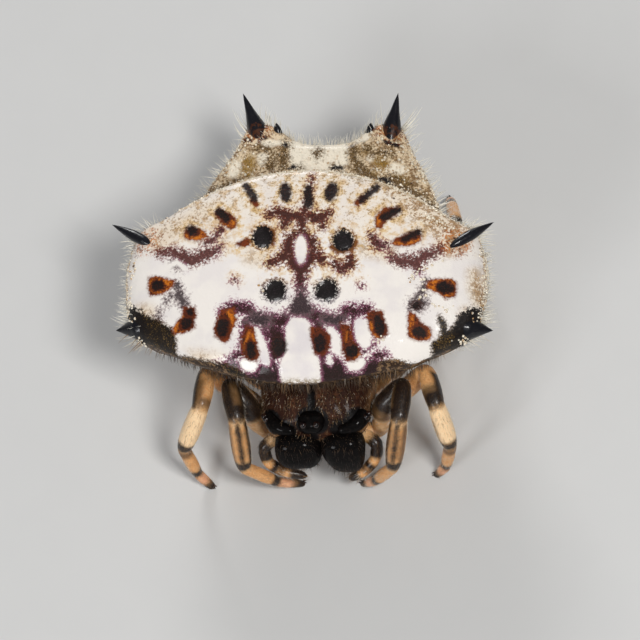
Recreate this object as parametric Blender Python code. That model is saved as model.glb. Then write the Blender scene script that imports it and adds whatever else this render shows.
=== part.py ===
"""A spiny orb weaver, a small spider with a wide hard abdomen and six short spines.

It stands still on its eight folded legs, at life size. The model's frame has +X to
the spider's side that shows right when it faces the viewer, +Y towards its rear and
+Z up, with the floor at zero. Every size below is in millimetres, and the finished
meshes are scaled to metres.
"""

import math

import bmesh
import bpy
from mathutils import Matrix, Vector

MM = 0.001
GAP = 0.1
MODEL_NAME = "spiny_orb_weaver"

# The whole model is moved so that its box is centred over the origin.
CENTRE_SHIFT = Vector((0.0, -3.38, 0.0))

# Abdomen. Each station is a tilted ring: the top of the ring on the midline, the
# rim at its widest, and the bottom on the midline. The first and last are poles.
ABDOMEN_TOP_POWER = 2.4
ABDOMEN_BOTTOM_POWER = 2.0
ABDOMEN_SIDES = 40
ABDOMEN_STATIONS = (
    # y top, z top, x rim, y rim, z rim, y bottom, z bottom
    (0.60, 3.18, 0.00, 0.60, 3.18, 0.60, 3.18),
    (0.32, 3.36, 2.30, 0.98, 3.22, 1.10, 3.06),
    (0.06, 3.62, 3.20, 0.95, 3.36, 1.45, 2.98),
    (0.00, 3.86, 3.42, 0.96, 3.46, 1.60, 2.90),
    (0.30, 4.20, 3.90, 1.22, 3.50, 1.85, 2.65),
    (0.85, 4.47, 4.18, 1.62, 3.55, 2.15, 2.30),
    (1.70, 4.66, 4.36, 2.20, 3.60, 2.50, 1.88),
    (2.90, 4.74, 4.42, 2.85, 3.65, 3.00, 1.52),
    (4.10, 4.72, 4.34, 3.38, 3.73, 3.60, 1.30),
    (5.00, 4.65, 4.02, 3.82, 3.88, 4.10, 1.20),
    (5.36, 4.57, 3.76, 4.02, 3.95, 4.50, 1.24),
    (5.48, 4.40, 3.62, 4.18, 3.86, 4.65, 1.30),
    (5.56, 3.80, 3.34, 4.50, 3.52, 4.80, 1.38),
    (5.68, 3.40, 3.06, 4.92, 3.18, 5.00, 1.48),
    (6.05, 3.30, 2.86, 5.42, 3.02, 5.40, 1.66),
    (6.58, 3.28, 2.46, 6.22, 2.94, 5.90, 1.92),
    (6.94, 3.12, 1.94, 6.92, 2.88, 6.30, 2.16),
    (7.05, 2.88, 1.60, 7.10, 2.74, 6.60, 2.34),
    (6.90, 2.58, 0.00, 6.90, 2.58, 6.90, 2.58),
)

# Spines: where the base sits on the right-hand rim, where the tip is, the radius
# at the base, and the height and reach of the swelling that it stands on.
SPINES = {
    "front_lateral": ((4.02, 1.66, 3.54), (4.60, 1.60, 3.50), 0.27, 0.10, 0.40),
    "median_lateral": ((3.80, 3.80, 4.08), (4.66, 4.14, 4.12), 0.23, 0.20, 0.42),
    "posterior": ((1.60, 7.06, 3.02), (1.85, 7.94, 3.46), 0.27, 0.28, 0.44),
}
# The swelling of the right-hand front rim: its place, how far it goes and its reach.
RIM_SWELLING = Vector((2.50, 0.95, 3.32))
RIM_SWELLING_PUSH = Vector((0.02, -0.20, 0.0))
RIM_SWELLING_REACH = 0.62
SPINE_SIDES = 9
SPINE_PROFILE = ((-0.35, 1.15), (0.0, 1.0), (0.30, 0.62), (0.62, 0.34), (0.88, 0.15), (1.0, 0.03))
SIDE_TUBERCLE_BASE = (1.12, 7.00, 3.08)
SIDE_TUBERCLE_TIP = (1.15, 7.24, 3.40)
SIDE_TUBERCLE_RADIUS = 0.11

# Prosoma, the joined head and chest, before it is turned and moved to one side.
HEAD_TURN = math.radians(1.6)
HEAD_PIVOT = Vector((0.0, 2.0, 0.0))
HEAD_SHIFT = Vector((0.13, 0.0, 0.0))
PROSOMA_POWER = 2.3
PROSOMA_SIDES = 28
PROSOMA_STATIONS = (
    # y, half width, z of the widest line, z top, z bottom
    (-0.60, 0.00, 2.00, 2.00, 2.00),
    (-0.52, 0.86, 2.00, 2.36, 1.66),
    (-0.37, 1.12, 1.97, 2.58, 1.36),
    (-0.08, 1.28, 1.95, 2.76, 1.17),
    (0.35, 1.36, 1.95, 2.89, 1.08),
    (0.80, 1.40, 1.90, 2.92, 1.05),
    (1.25, 1.30, 1.85, 2.74, 1.06),
    (1.65, 1.00, 1.85, 2.44, 1.16),
    (1.95, 0.55, 1.85, 2.14, 1.45),
    (2.10, 0.00, 1.85, 1.85, 1.85),
)
PEDICEL_START = Vector((0.0, 1.55, 1.90))
PEDICEL_END = Vector((0.0, 2.75, 2.35))
PEDICEL_RADIUS = 0.30

# Chelicerae, the two jaw lobes at the front of the head.
CHELICERA_CENTRE = Vector((0.60, -0.64, 1.58))
CHELICERA_SIZE = Vector((0.50, 0.45, 0.61))
CHELICERA_OFFSET = Vector((0.07, 0.0, 0.0))
CHELICERA_LEAN = math.radians(14.0)
CHELICERA_TAPER = 0.22

# Eyes: the middle four on one tubercle, and two pairs on mounds at the corners.
EYE_GAP = 0.05
TUBERCLE_CENTRE = Vector((-0.02, -0.38, 2.55))
TUBERCLE_SIZE = Vector((0.34, 0.31, 0.28))
MEDIAN_LENS = (0.15, 0.15, 0.08)
MOUND_PATH = ((0.62, -0.53, 2.40), (0.84, -0.47, 2.41), (1.03, -0.33, 2.39), (1.17, -0.10, 2.35))
MOUND_OFFSET = Vector((0.08, 0.0, 0.0))
MOUND_RADII = (0.14, 0.18, 0.19, 0.18)
LATERAL_LENS_RADIUS = 0.09
LATERAL_LENS_SHARES = (0.62, 0.96)

# Spinnerets, under the rear of the abdomen.
SPINNERET_CENTRE = Vector((0.0, 4.25, 1.30))
SPINNERET_DROP = 0.42
SPINNERET_RADIUS = 0.36

# Pedipalps, the two short feelers that curl round the jaws.
PALP_RADII = (0.16, 0.17, 0.16, 0.15, 0.14, 0.09)
PALPS = {
    "left": ((-0.50, -0.15, 1.40), (-0.95, -0.38, 1.55), (-1.16, -0.52, 1.42),
             (-1.10, -0.72, 1.05), (-0.75, -0.84, 0.78), (-0.18, -0.88, 0.60)),
    "right": ((0.95, -0.05, 1.40), (1.42, -0.25, 1.50), (1.62, -0.42, 1.40),
              (1.54, -0.62, 1.05), (1.24, -0.84, 0.78), (0.84, -0.95, 0.60)),
}

# Legs, numbered from the front: coxa root inside the chest, trochanter, knee, end of
# the patella, end of the tibia, end of the metatarsus, and the sole of the foot.
LEGS = {
    "leg_1_left": ((-0.45, 0.05, 1.30), (-1.16, 0.03, 1.20), (-1.87, 0.55, 2.72),
                   (-1.63, -0.34, 2.66), (-1.61, -0.99, 1.30), (-0.94, -0.93, 0.40), (-0.42, -0.79, 0.0)),
    "leg_1_right": ((0.85, 0.05, 1.30), (1.57, 0.05, 1.20), (2.36, 0.56, 2.72),
                    (2.33, -0.33, 2.66), (2.02, -0.97, 1.30), (1.46, -0.89, 0.40), (1.10, -0.78, 0.0)),
    "leg_2_left": ((-0.50, 0.62, 1.28), (-1.36, 0.70, 1.15), (-2.44, 0.90, 2.70),
                   (-2.54, -0.04, 2.64), (-3.11, -0.54, 1.40), (-2.91, -0.72, 0.40), (-2.62, -0.86, 0.0)),
    "leg_2_right": ((0.85, 0.62, 1.28), (1.72, 0.72, 1.15), (2.90, 0.92, 2.70),
                    (3.20, 0.04, 2.64), (3.40, -0.45, 1.40), (3.15, -0.50, 0.40), (2.88, -0.54, 0.0)),
    "leg_3_left": ((-0.50, 1.14, 1.28), (-1.24, 1.30, 1.12), (-2.00, 1.62, 1.90),
                   (-2.42, 1.66, 1.78), (-2.72, 1.90, 0.95), (-2.78, 2.10, 0.32), (-2.66, 2.25, 0.0)),
    "leg_3_right": ((0.75, 1.14, 1.28), (1.54, 1.30, 1.12), (2.20, 1.62, 1.90),
                    (2.50, 1.84, 1.80), (2.58, 2.32, 1.04), (2.60, 2.58, 0.34), (2.50, 2.76, 0.0)),
    "leg_4_left": ((-0.35, 1.58, 1.34), (-0.95, 1.86, 1.10), (-2.50, 3.20, 1.32),
                   (-2.76, 3.92, 1.46), (-2.62, 5.26, 1.38), (-2.30, 6.20, 0.48), (-2.20, 6.52, 0.0)),
    "leg_4_right": ((0.50, 1.58, 1.34), (1.15, 1.86, 1.10), (2.90, 3.20, 1.42),
                    (3.32, 3.94, 1.66), (3.12, 5.50, 1.70), (2.78, 6.50, 0.58), (2.64, 6.86, 0.0)),
}
COXA_RADIUS = 0.20
FEMUR_RADII = (0.21, 0.25, 0.25, 0.23)
# The front femurs are stouter and bow towards the head: how far their middles move.
BOWED_RADII = (0.25, 0.27, 0.28, 0.26, 0.23)
FEMUR_BOWS = {"leg_1_left": Vector((0.13, -0.17, 0.12)), "leg_1_right": Vector((-0.20, -0.14, 0.08))}
PATELLA_RADII = (0.21, 0.25, 0.23)
TIBIA_RADII = (0.24, 0.25, 0.21)
METATARSUS_RADII = (0.17, 0.17, 0.15)
TARSUS_RADII = (0.14, 0.12)
SOLE_RADIUS = 0.09
LEG_SCALE = {"leg_1": 1.0, "leg_2": 1.0, "leg_3": 0.92, "leg_4": 1.0}
LEG_SIDES = 10

SKIN = {
    # colour, roughness, metallic
    "enamel_white": ((0.84, 0.80, 0.74), 0.35, 0.0),
    "spine_black": ((0.02, 0.02, 0.03), 0.15, 0.0),
    "chocolate": ((0.10, 0.05, 0.03), 0.55, 0.0),
    "jaw_black": ((0.01, 0.01, 0.01), 0.15, 0.0),
    "leg_tan": ((0.62, 0.33, 0.14), 0.45, 0.0),
}


def clear_scene():
    """Take every object out of the scene."""
    for item in list(bpy.data.objects):
        bpy.data.objects.remove(item, do_unlink=True)


def make_collection(name, hidden=False):
    """Add a collection to the scene and return it."""
    group = bpy.data.collections.new(name)
    bpy.context.scene.collection.children.link(group)
    group.hide_render = hidden
    return group


def make_material(name):
    """Return a finish with its colour, roughness and metallic value."""
    colour, roughness, metallic = SKIN[name]
    finish = bpy.data.materials.new(name)
    finish.use_nodes = True
    shader = finish.node_tree.nodes["Principled BSDF"]
    shader.inputs["Base Color"].default_value = (*colour, 1.0)
    shader.inputs["Roughness"].default_value = roughness
    shader.inputs["Metallic"].default_value = metallic
    finish.diffuse_color = (*colour, 1.0)
    return finish


def slopes(xs, ys):
    """Return slopes for a cubic that never swings past its stations."""
    steps = [b - a for a, b in zip(xs, xs[1:])]
    rises = [(b - a) / step for a, b, step in zip(ys, ys[1:], steps)]
    result = [rises[0]]
    for i in range(1, len(xs) - 1):
        before, after = rises[i - 1], rises[i]
        if before * after <= 0.0:
            result.append(0.0)
            continue
        w1 = 2.0 * steps[i] + steps[i - 1]
        w2 = steps[i] + 2.0 * steps[i - 1]
        result.append((w1 + w2) / (w1 / before + w2 / after))
    result.append(rises[-1])
    return result


class Stations:
    """Rows of sizes along a body, read at any place between the first and the last."""

    def __init__(self, rows):
        self.columns = list(zip(*rows))
        self.places = list(range(len(rows)))
        self.slopes = [slopes(self.places, column) for column in self.columns]

    def at(self, place):
        """Return every size at a place counted in stations."""
        i = min(int(place), len(self.places) - 2)
        t = place - i
        h00 = (1.0 + 2.0 * t) * (1.0 - t) ** 2
        h10 = t * (1.0 - t) ** 2
        h01 = t * t * (3.0 - 2.0 * t)
        h11 = t * t * (t - 1.0)
        return [
            h00 * c[i] + h10 * m[i] + h01 * c[i + 1] + h11 * m[i + 1]
            for c, m in zip(self.columns, self.slopes)
        ]


def superellipse(angle, power):
    """Return how far out and how far up a rounded section reaches at an angle."""
    across = math.sin(angle)
    up = math.cos(angle)
    x = math.copysign(abs(across) ** (2.0 / power), across)
    z = math.copysign(abs(up) ** (2.0 / power), up)
    return x, z


def both_sides(point, side):
    """Return a right-hand point, or its mirror image on the left."""
    return Vector((point[0] * side, point[1], point[2]))


def swelling(point):
    """Return how far the surface is pushed out under the spines at a point."""
    push = Vector((0.0, 0.0, 0.0))
    for base, tip, _, height, reach in SPINES.values():
        for side in (-1.0, 1.0):
            foot = both_sides(base, side)
            way = (both_sides(tip, side) - foot).normalized()
            away = (point - foot).length / reach
            push += way * height * math.exp(-away * away)
    away = (point - RIM_SWELLING).length / RIM_SWELLING_REACH
    return push + RIM_SWELLING_PUSH * math.exp(-away * away)


def abdomen_point(stations, place, angle):
    """Return the point of the abdomen at a station and an angle from the top."""
    y_top, z_top, x_rim, y_rim, z_rim, y_bottom, z_bottom = stations.at(place)
    power = ABDOMEN_TOP_POWER if math.cos(angle) >= 0.0 else ABDOMEN_BOTTOM_POWER
    x, z = superellipse(angle, power)
    y_end, z_end = (y_top, z_top) if z >= 0.0 else (y_bottom, z_bottom)
    point = Vector((
        x_rim * x,
        y_rim + (y_end - y_rim) * (1.0 - x * x),
        z_rim + (z_end - z_rim) * abs(z),
    ))
    return point + swelling(point)


def prosoma_point(stations, place, angle):
    """Return the point of the head and chest at a station and an angle."""
    y, half_width, z_middle, z_top, z_bottom = stations.at(place)
    x, z = superellipse(angle, PROSOMA_POWER)
    z_end = z_top if z >= 0.0 else z_bottom
    return Vector((half_width * x, y, z_middle + (z_end - z_middle) * abs(z)))


def closed_loft(rings):
    """Join rings of points, with a pole before the first and after the last."""
    mesh = bmesh.new()
    first = mesh.verts.new(rings[0][0])
    last = mesh.verts.new(rings[-1][0])
    loops = [[mesh.verts.new(point) for point in ring] for ring in rings[1:-1]]
    count = len(loops[0])
    for i in range(count):
        j = (i + 1) % count
        mesh.faces.new((first, loops[0][i], loops[0][j]))
        mesh.faces.new((last, loops[-1][j], loops[-1][i]))
        for near, far in zip(loops, loops[1:]):
            mesh.faces.new((near[i], far[i], far[j], near[j]))
    return mesh


def capped_loft(rings):
    """Join rings of points and close both ends with flat faces."""
    mesh = bmesh.new()
    loops = [[mesh.verts.new(point) for point in ring] for ring in rings]
    count = len(loops[0])
    for near, far in zip(loops, loops[1:]):
        for i in range(count):
            j = (i + 1) % count
            mesh.faces.new((near[i], far[i], far[j], near[j]))
    mesh.faces.new(list(reversed(loops[0])))
    mesh.faces.new(loops[-1])
    return mesh


def body_loft(shape, rows, places, sides):
    """Loft a body whose shape function gives a point for a place and an angle."""
    stations = Stations(rows)
    rings = [[shape(stations, 0.0, 0.0)]]
    for place in places:
        rings.append([shape(stations, place, math.tau * i / sides) for i in range(sides)])
    rings.append([shape(stations, len(rows) - 1.0, 0.0)])
    return closed_loft(rings)


def tube_rings(stations, sides):
    """Return rings round a path of centres, radii and the way each ring faces."""
    rings = []
    side = stations[0][2].orthogonal().normalized()
    for centre, radius, way in stations:
        side = (side - way * side.dot(way)).normalized()
        up = way.cross(side)
        ring = []
        for i in range(sides):
            angle = math.tau * i / sides
            ring.append(centre + (side * math.cos(angle) + up * math.sin(angle)) * radius)
        rings.append(ring)
    return rings


def round_end(centre, radius, way):
    """Return the stations of a rounded end past a centre."""
    return [
        (centre + way * radius * math.sin(a), radius * math.cos(a), way)
        for a in (math.radians(38.0), math.radians(68.0))
    ]


def straight_part(start, end, radii, from_share=0.0, to_share=1.0):
    """Return stations spread along one straight segment of a limb."""
    way = (end - start).normalized()
    result = []
    for i, radius in enumerate(radii):
        share = from_share + (to_share - from_share) * i / (len(radii) - 1)
        result.append((start.lerp(end, share), radius, way))
    return result


def bend(before, corner, after, radius):
    """Return the station at a corner, facing half way round the bend."""
    way = ((corner - before).normalized() + (after - corner).normalized()).normalized()
    return corner, radius, way


def outward(mesh):
    """Turn every face of a closed mesh outwards."""
    bmesh.ops.recalc_face_normals(mesh, faces=mesh.faces)
    if mesh.calc_volume(signed=True) < 0.0:
        bmesh.ops.reverse_faces(mesh, faces=mesh.faces)


def make_object(name, mesh, finish, group):
    """Give a mesh a name, a finish and a place in a collection."""
    outward(mesh)
    data = bpy.data.meshes.new(name)
    mesh.to_mesh(data)
    mesh.free()
    item = bpy.data.objects.new(name, data)
    group.objects.link(item)
    if finish is not None:
        data.materials.append(finish)
    if group.hide_render:
        item.hide_render = True
        item.display_type = "WIRE"
    return item


def grown(mesh, distance):
    """Return a copy of a mesh pushed out along its normals."""
    copy = mesh.copy()
    outward(copy)
    copy.normal_update()
    moved = [vert.co + vert.normal * distance for vert in copy.verts]
    for vert, place in zip(copy.verts, moved):
        vert.co = place
    return copy


def keep_largest(item):
    """Keep only the closed surface of an object that holds the most space."""
    mesh = bmesh.new()
    mesh.from_mesh(item.data)
    bmesh.ops.remove_doubles(mesh, verts=mesh.verts, dist=0.0001)
    pieces = []
    left = set(mesh.verts)
    while left:
        piece = set()
        edge = [left.pop()]
        while edge:
            vert = edge.pop()
            piece.add(vert)
            near = [e.other_vert(vert) for e in vert.link_edges]
            fresh = [v for v in near if v in left]
            left.difference_update(fresh)
            edge.extend(fresh)
        pieces.append(piece)
    sizes = []
    for piece in pieces:
        lows = [min(v.co[k] for v in piece) for k in range(3)]
        highs = [max(v.co[k] for v in piece) for k in range(3)]
        sizes.append(math.prod(high - low for low, high in zip(lows, highs)))
    kept = pieces[sizes.index(max(sizes))]
    loose = [vert for vert in mesh.verts if vert not in kept]
    bmesh.ops.delete(mesh, geom=loose, context="VERTS")
    outward(mesh)
    mesh.to_mesh(item.data)
    mesh.free()


def combine(item, others, operation):
    """Join other objects to one, or cut them from it, and remove them."""
    group = make_collection(item.name + "_tools", hidden=True)
    for other in others:
        for owner in list(other.users_collection):
            owner.objects.unlink(other)
        group.objects.link(other)
    change = item.modifiers.new("change", "BOOLEAN")
    change.operation = operation
    change.solver = "EXACT"
    change.operand_type = "COLLECTION"
    change.collection = group
    bpy.context.view_layer.update()
    shape = item.evaluated_get(bpy.context.evaluated_depsgraph_get())
    data = bpy.data.meshes.new_from_object(shape)
    item.modifiers.clear()
    item.data = data
    for other in others:
        bpy.data.objects.remove(other, do_unlink=True)
    bpy.data.collections.remove(group)
    keep_largest(item)


def cone_along(base, tip, radius, sides):
    """Return a slender, slightly hollow-sided cone from a base to a tip."""
    way = tip - base
    stations = [
        (base + way * share, radius * size, way.normalized())
        for share, size in SPINE_PROFILE
    ]
    return capped_loft(tube_rings(stations, sides))


def ellipsoid(centre, size, across, up):
    """Return a sphere stretched to three sizes."""
    mesh = bmesh.new()
    bmesh.ops.create_uvsphere(mesh, u_segments=across, v_segments=up, radius=1.0)
    for vert in mesh.verts:
        vert.co = Vector(a * b for a, b in zip(vert.co, size)) + centre
    return mesh


def turn_head(mesh):
    """Turn a mesh with the head, about the waist, and move it to the head's side."""
    turn = Matrix.Rotation(HEAD_TURN, 4, "Z")
    place = Matrix.Translation(HEAD_PIVOT)
    change = Matrix.Translation(HEAD_SHIFT) @ place @ turn @ place.inverted()
    bmesh.ops.transform(mesh, matrix=change, verts=mesh.verts)
    return mesh


def abdomen_mesh():
    """Return the abdomen without its spines."""
    last = len(ABDOMEN_STATIONS) - 1
    places = [0.35]
    for i in range(1, last):
        places.append(float(i))
        if 4 <= i <= 9 or 13 <= i <= 15:
            places.append(i + 0.5)
    places.append(last - 0.35)
    return body_loft(abdomen_point, ABDOMEN_STATIONS, places, ABDOMEN_SIDES)


def prosoma_mesh():
    """Return the joined head and chest, turned to its side."""
    last = len(PROSOMA_STATIONS) - 1
    places = [0.12, 0.45]
    for i in range(1, last):
        places.extend([float(i), i + 0.5])
    places[-1] = last - 0.55
    places.append(last - 0.15)
    mesh = body_loft(prosoma_point, PROSOMA_STATIONS, places, PROSOMA_SIDES)
    return turn_head(mesh)


def build_abdomen(finish, group, tools):
    """Make the abdomen with its six spines and two small tubercles."""
    abdomen = make_object("abdomen", abdomen_mesh(), finish, group)
    grafts = []
    for side in (-1.0, 1.0):
        for name, (base, tip, radius, height, _) in SPINES.items():
            foot = both_sides(base, side)
            end = both_sides(tip, side)
            foot += (end - foot).normalized() * height * 0.5
            mesh = cone_along(foot, end, radius, SPINE_SIDES)
            grafts.append(make_object(name, mesh, None, tools))
        foot = both_sides(SIDE_TUBERCLE_BASE, side)
        end = both_sides(SIDE_TUBERCLE_TIP, side)
        mesh = cone_along(foot, end, SIDE_TUBERCLE_RADIUS, 6)
        grafts.append(make_object("small_tubercle", mesh, None, tools))
    combine(abdomen, grafts, "UNION")
    return abdomen


def abdomen_cutter(tools):
    """Return the abdomen grown by the gap, to cut its neighbours clear."""
    return make_object("abdomen_cutter", grown(abdomen_mesh(), GAP), None, tools)


def prosoma_cutter(tools, distance=GAP):
    """Return the prosoma grown by a gap, to cut its neighbours clear."""
    return make_object("prosoma_cutter", grown(prosoma_mesh(), distance), None, tools)


def build_prosoma(finish, group, tools):
    """Make the head and chest with the narrow waist that meets the abdomen."""
    prosoma = make_object("prosoma", prosoma_mesh(), finish, group)
    radii = (PEDICEL_RADIUS, PEDICEL_RADIUS * 0.85, PEDICEL_RADIUS)
    waist = capped_loft(tube_rings(straight_part(PEDICEL_START, PEDICEL_END, radii), 14))
    combine(prosoma, [make_object("waist", waist, None, tools)], "UNION")
    combine(prosoma, [abdomen_cutter(tools)], "DIFFERENCE")
    return prosoma


def chelicera_mesh(side, distance):
    """Return one jaw lobe, grown by a distance."""
    size = CHELICERA_SIZE + Vector((distance, distance, distance))
    mesh = ellipsoid(Vector((0.0, 0.0, 0.0)), size, 18, 12)
    lean = Matrix.Rotation(-CHELICERA_LEAN, 3, "X")
    for vert in mesh.verts:
        down = max(0.0, -vert.co.z / size.z)
        vert.co.x *= 1.0 - CHELICERA_TAPER * down
        vert.co.y *= 1.0 - CHELICERA_TAPER * down
        vert.co = lean @ vert.co + both_sides(CHELICERA_CENTRE, side) + CHELICERA_OFFSET
    return turn_head(mesh)


def build_chelicerae(finish, group, tools):
    """Make the two jaw lobes, cut to lie against the head."""
    for side, word in ((-1.0, "left"), (1.0, "right")):
        lobe = make_object("chelicera_" + word, chelicera_mesh(side, 0.0), finish, group)
        combine(lobe, [prosoma_cutter(tools)], "DIFFERENCE")


def build_eyes(finish, group, tools):
    """Make the middle eye tubercle and the two corner mounds, with their lenses."""
    mesh = turn_head(ellipsoid(TUBERCLE_CENTRE, TUBERCLE_SIZE, 16, 10))
    tubercle = make_object("eye_tubercle", mesh, finish, group)
    across, forward, radius = MEDIAN_LENS
    lenses = []
    for side in (-1.0, 1.0):
        for way, drop in ((-1.0, 0.05), (0.55, 0.10)):
            centre = TUBERCLE_CENTRE + Vector((side * across, way * forward, TUBERCLE_SIZE.z - drop))
            mesh = turn_head(ellipsoid(centre, Vector((radius,) * 3), 8, 6))
            lenses.append(make_object("lens", mesh, None, tools))
    combine(tubercle, lenses, "UNION")
    combine(tubercle, [prosoma_cutter(tools, EYE_GAP)], "DIFFERENCE")
    for side, word in ((-1.0, "left"), (1.0, "right")):
        path = [both_sides(point, side) + MOUND_OFFSET for point in MOUND_PATH]
        mesh = turn_head(bent_tube(path, MOUND_RADII))
        mound = make_object("eye_mound_" + word, mesh, finish, group)
        lenses = []
        for share in LATERAL_LENS_SHARES:
            centre = path[2].lerp(path[3], share) + Vector((side * 0.10, -0.05, 0.12))
            mesh = turn_head(ellipsoid(centre, Vector((LATERAL_LENS_RADIUS,) * 3), 8, 6))
            lenses.append(make_object("lens", mesh, None, tools))
        combine(mound, lenses, "UNION")
        combine(mound, [prosoma_cutter(tools, EYE_GAP)], "DIFFERENCE")


def build_spinnerets(finish, group, tools):
    """Make the cluster of spinnerets under the abdomen."""
    stations = []
    for share, size in ((-0.6, 1.1), (0.0, 1.0), (0.4, 0.92), (0.72, 0.7), (1.0, 0.42)):
        drop = SPINNERET_DROP * share
        centre = SPINNERET_CENTRE - Vector((0.0, 0.0, drop))
        stations.append((centre, SPINNERET_RADIUS * size, Vector((0.0, 0.0, -1.0))))
    mesh = capped_loft(tube_rings(stations, 16))
    spinnerets = make_object("spinnerets", mesh, finish, group)
    combine(spinnerets, [abdomen_cutter(tools)], "DIFFERENCE")


def bent_tube(points, radii):
    """Return a round-ended tube that bends smoothly through its points."""
    places = [Vector(point) for point in points]
    ways = [(places[1] - places[0]).normalized()]
    for before, here, after in zip(places, places[1:], places[2:]):
        ways.append(bend(before, here, after, 0.0)[2])
    ways.append((places[-1] - places[-2]).normalized())
    stations = [(c, r, ways[0]) for c, r, _ in reversed(round_end(places[0], radii[0], -ways[0]))]
    for i, (place, radius, way) in enumerate(zip(places, radii, ways)):
        stations.append((place, radius, way))
        if i + 1 < len(places):
            half_way = (way + ways[i + 1]).normalized()
            chord = (places[i + 1] - place).length
            bow = (way - ways[i + 1]) * chord * 0.125
            middle = place.lerp(places[i + 1], 0.5) + bow
            stations.append((middle, (radius + radii[i + 1]) * 0.5, half_way))
    stations += round_end(places[-1], radii[-1], ways[-1])
    return capped_loft(tube_rings(stations, LEG_SIDES))


def build_palps(finish, group, tools):
    """Make the two pedipalps, cut clear of the head and the jaws."""
    for word, points in PALPS.items():
        side = -1.0 if word == "left" else 1.0
        palp = make_object("pedipalp_" + word, bent_tube(points, PALP_RADII), finish, group)
        jaw = make_object("jaw_cutter", chelicera_mesh(side, GAP), None, tools)
        combine(palp, [prosoma_cutter(tools), jaw], "DIFFERENCE")


def bowed(stations, bow):
    """Return the stations of a straight part with its middle moved aside."""
    last = len(stations) - 1
    shares = [math.sin(math.pi * i / last) ** 2 for i in range(last + 1)]
    return [(centre + bow * share, radius, way) for share, (centre, radius, way) in zip(shares, stations)]


def femur_stations(joints, scale, bow=None):
    """Return the stations of the coxa and the femur up to the knee."""
    coxa, hip, knee = joints[0], joints[1], joints[2]
    stations = straight_part(coxa, hip, (COXA_RADIUS * scale,) * 2, 0.0, 0.72)
    stations.append(bend(coxa, hip, knee, FEMUR_RADII[0] * scale))
    if bow:
        radii = BOWED_RADII
        stations += bowed(straight_part(hip, knee, radii, 0.22, 1.0), bow)
    else:
        radii = [radius * scale for radius in FEMUR_RADII[1:]]
        stations += straight_part(hip, knee, radii, 0.22, 1.0)
    stations += round_end(knee, radii[-1], (knee - hip).normalized())
    return stations


def shin_stations(joints, scale):
    """Return the stations of the patella and the tibia down to the ankle."""
    knee, patella, tibia = joints[2], joints[3], joints[4]
    first, middle, last = (radius * scale for radius in PATELLA_RADII)
    stations = straight_part(knee, patella, (first, middle, middle), 0.0, 0.78)
    stations.append(bend(knee, patella, tibia, last))
    radii = [radius * scale for radius in TIBIA_RADII]
    stations += straight_part(patella, tibia, radii, 0.18, 0.9)
    corner, radius, way = bend(patella, tibia, joints[5], radii[-1])
    stations.append((corner - way * GAP * 0.5, radius * 0.92, way))
    return stations


def foot_stations(joints, scale):
    """Return the stations of the metatarsus and the tarsus down to the sole."""
    tibia, metatarsus, sole = joints[4], joints[5], joints[6]
    radii = [radius * scale for radius in METATARSUS_RADII]
    corner, radius, way = bend(joints[3], tibia, metatarsus, radii[0])
    stations = [(corner + way * GAP * 0.5, radius, way)]
    stations += straight_part(tibia, metatarsus, radii, 0.2, 0.85)
    stations.append(bend(tibia, metatarsus, sole, TARSUS_RADII[0] * scale))
    way = (sole - metatarsus).normalized()
    near = metatarsus.lerp(sole, 0.6)
    stations.append((near, TARSUS_RADII[1] * scale, (way + Vector((0.0, 0.0, -0.5))).normalized()))
    stations.append((sole, SOLE_RADIUS, Vector((0.0, 0.0, -1.0))))
    return stations


def build_leg(name, points, finish, group, tools):
    """Make one leg as three nodes, from the hip to the sole."""
    joints = [Vector(point) for point in points]
    scale = LEG_SCALE[name[:5]]
    femur_mesh = capped_loft(tube_rings(femur_stations(joints, scale, FEMUR_BOWS.get(name)), LEG_SIDES))
    knee_cutter = make_object("knee_cutter", grown(femur_mesh, GAP), None, tools)
    femur = make_object(name + "_femur", femur_mesh, finish, group)
    combine(femur, [prosoma_cutter(tools)], "DIFFERENCE")
    shin_mesh = capped_loft(tube_rings(shin_stations(joints, scale), LEG_SIDES))
    shin = make_object(name + "_tibia", shin_mesh, finish, group)
    combine(shin, [knee_cutter], "DIFFERENCE")
    foot_mesh = capped_loft(tube_rings(foot_stations(joints, scale), LEG_SIDES))
    make_object(name + "_foot", foot_mesh, finish, group)


def finish_model(group):
    """Scale every part to metres about the origin and shade its round faces smooth."""
    change = Matrix.Scale(MM, 4) @ Matrix.Translation(CENTRE_SHIFT)
    for item in group.objects:
        item.data.transform(change)
        item.data.shade_smooth()
        item.data.set_sharp_from_angle(angle=math.radians(40.0))


def main():
    """Build the whole spider."""
    clear_scene()
    group = make_collection(MODEL_NAME)
    tools = make_collection("cutters", hidden=True)
    finishes = {name: make_material(name) for name in SKIN}
    build_abdomen(finishes["enamel_white"], group, tools)
    build_spinnerets(finishes["chocolate"], group, tools)
    build_prosoma(finishes["chocolate"], group, tools)
    build_chelicerae(finishes["jaw_black"], group, tools)
    build_eyes(finishes["spine_black"], group, tools)
    build_palps(finishes["leg_tan"], group, tools)
    for name, points in LEGS.items():
        build_leg(name, points, finishes["leg_tan"], group, tools)
    finish_model(group)


main()
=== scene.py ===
"""The dress of a spiny orb weaver: its enamelled skin, spines, eyes, legs and coat.

Sizes are in millimetres in the model's frame, with +X to the side that shows right when
the spider faces the viewer, +Y to its rear and +Z up, and become metres in `to_frame`.
"""

import logging
import math
from collections.abc import Callable, Sequence
from dataclasses import dataclass, field
from enum import Enum

import bmesh
import bpy
import numpy as np
from mathutils import Matrix, Vector


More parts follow.
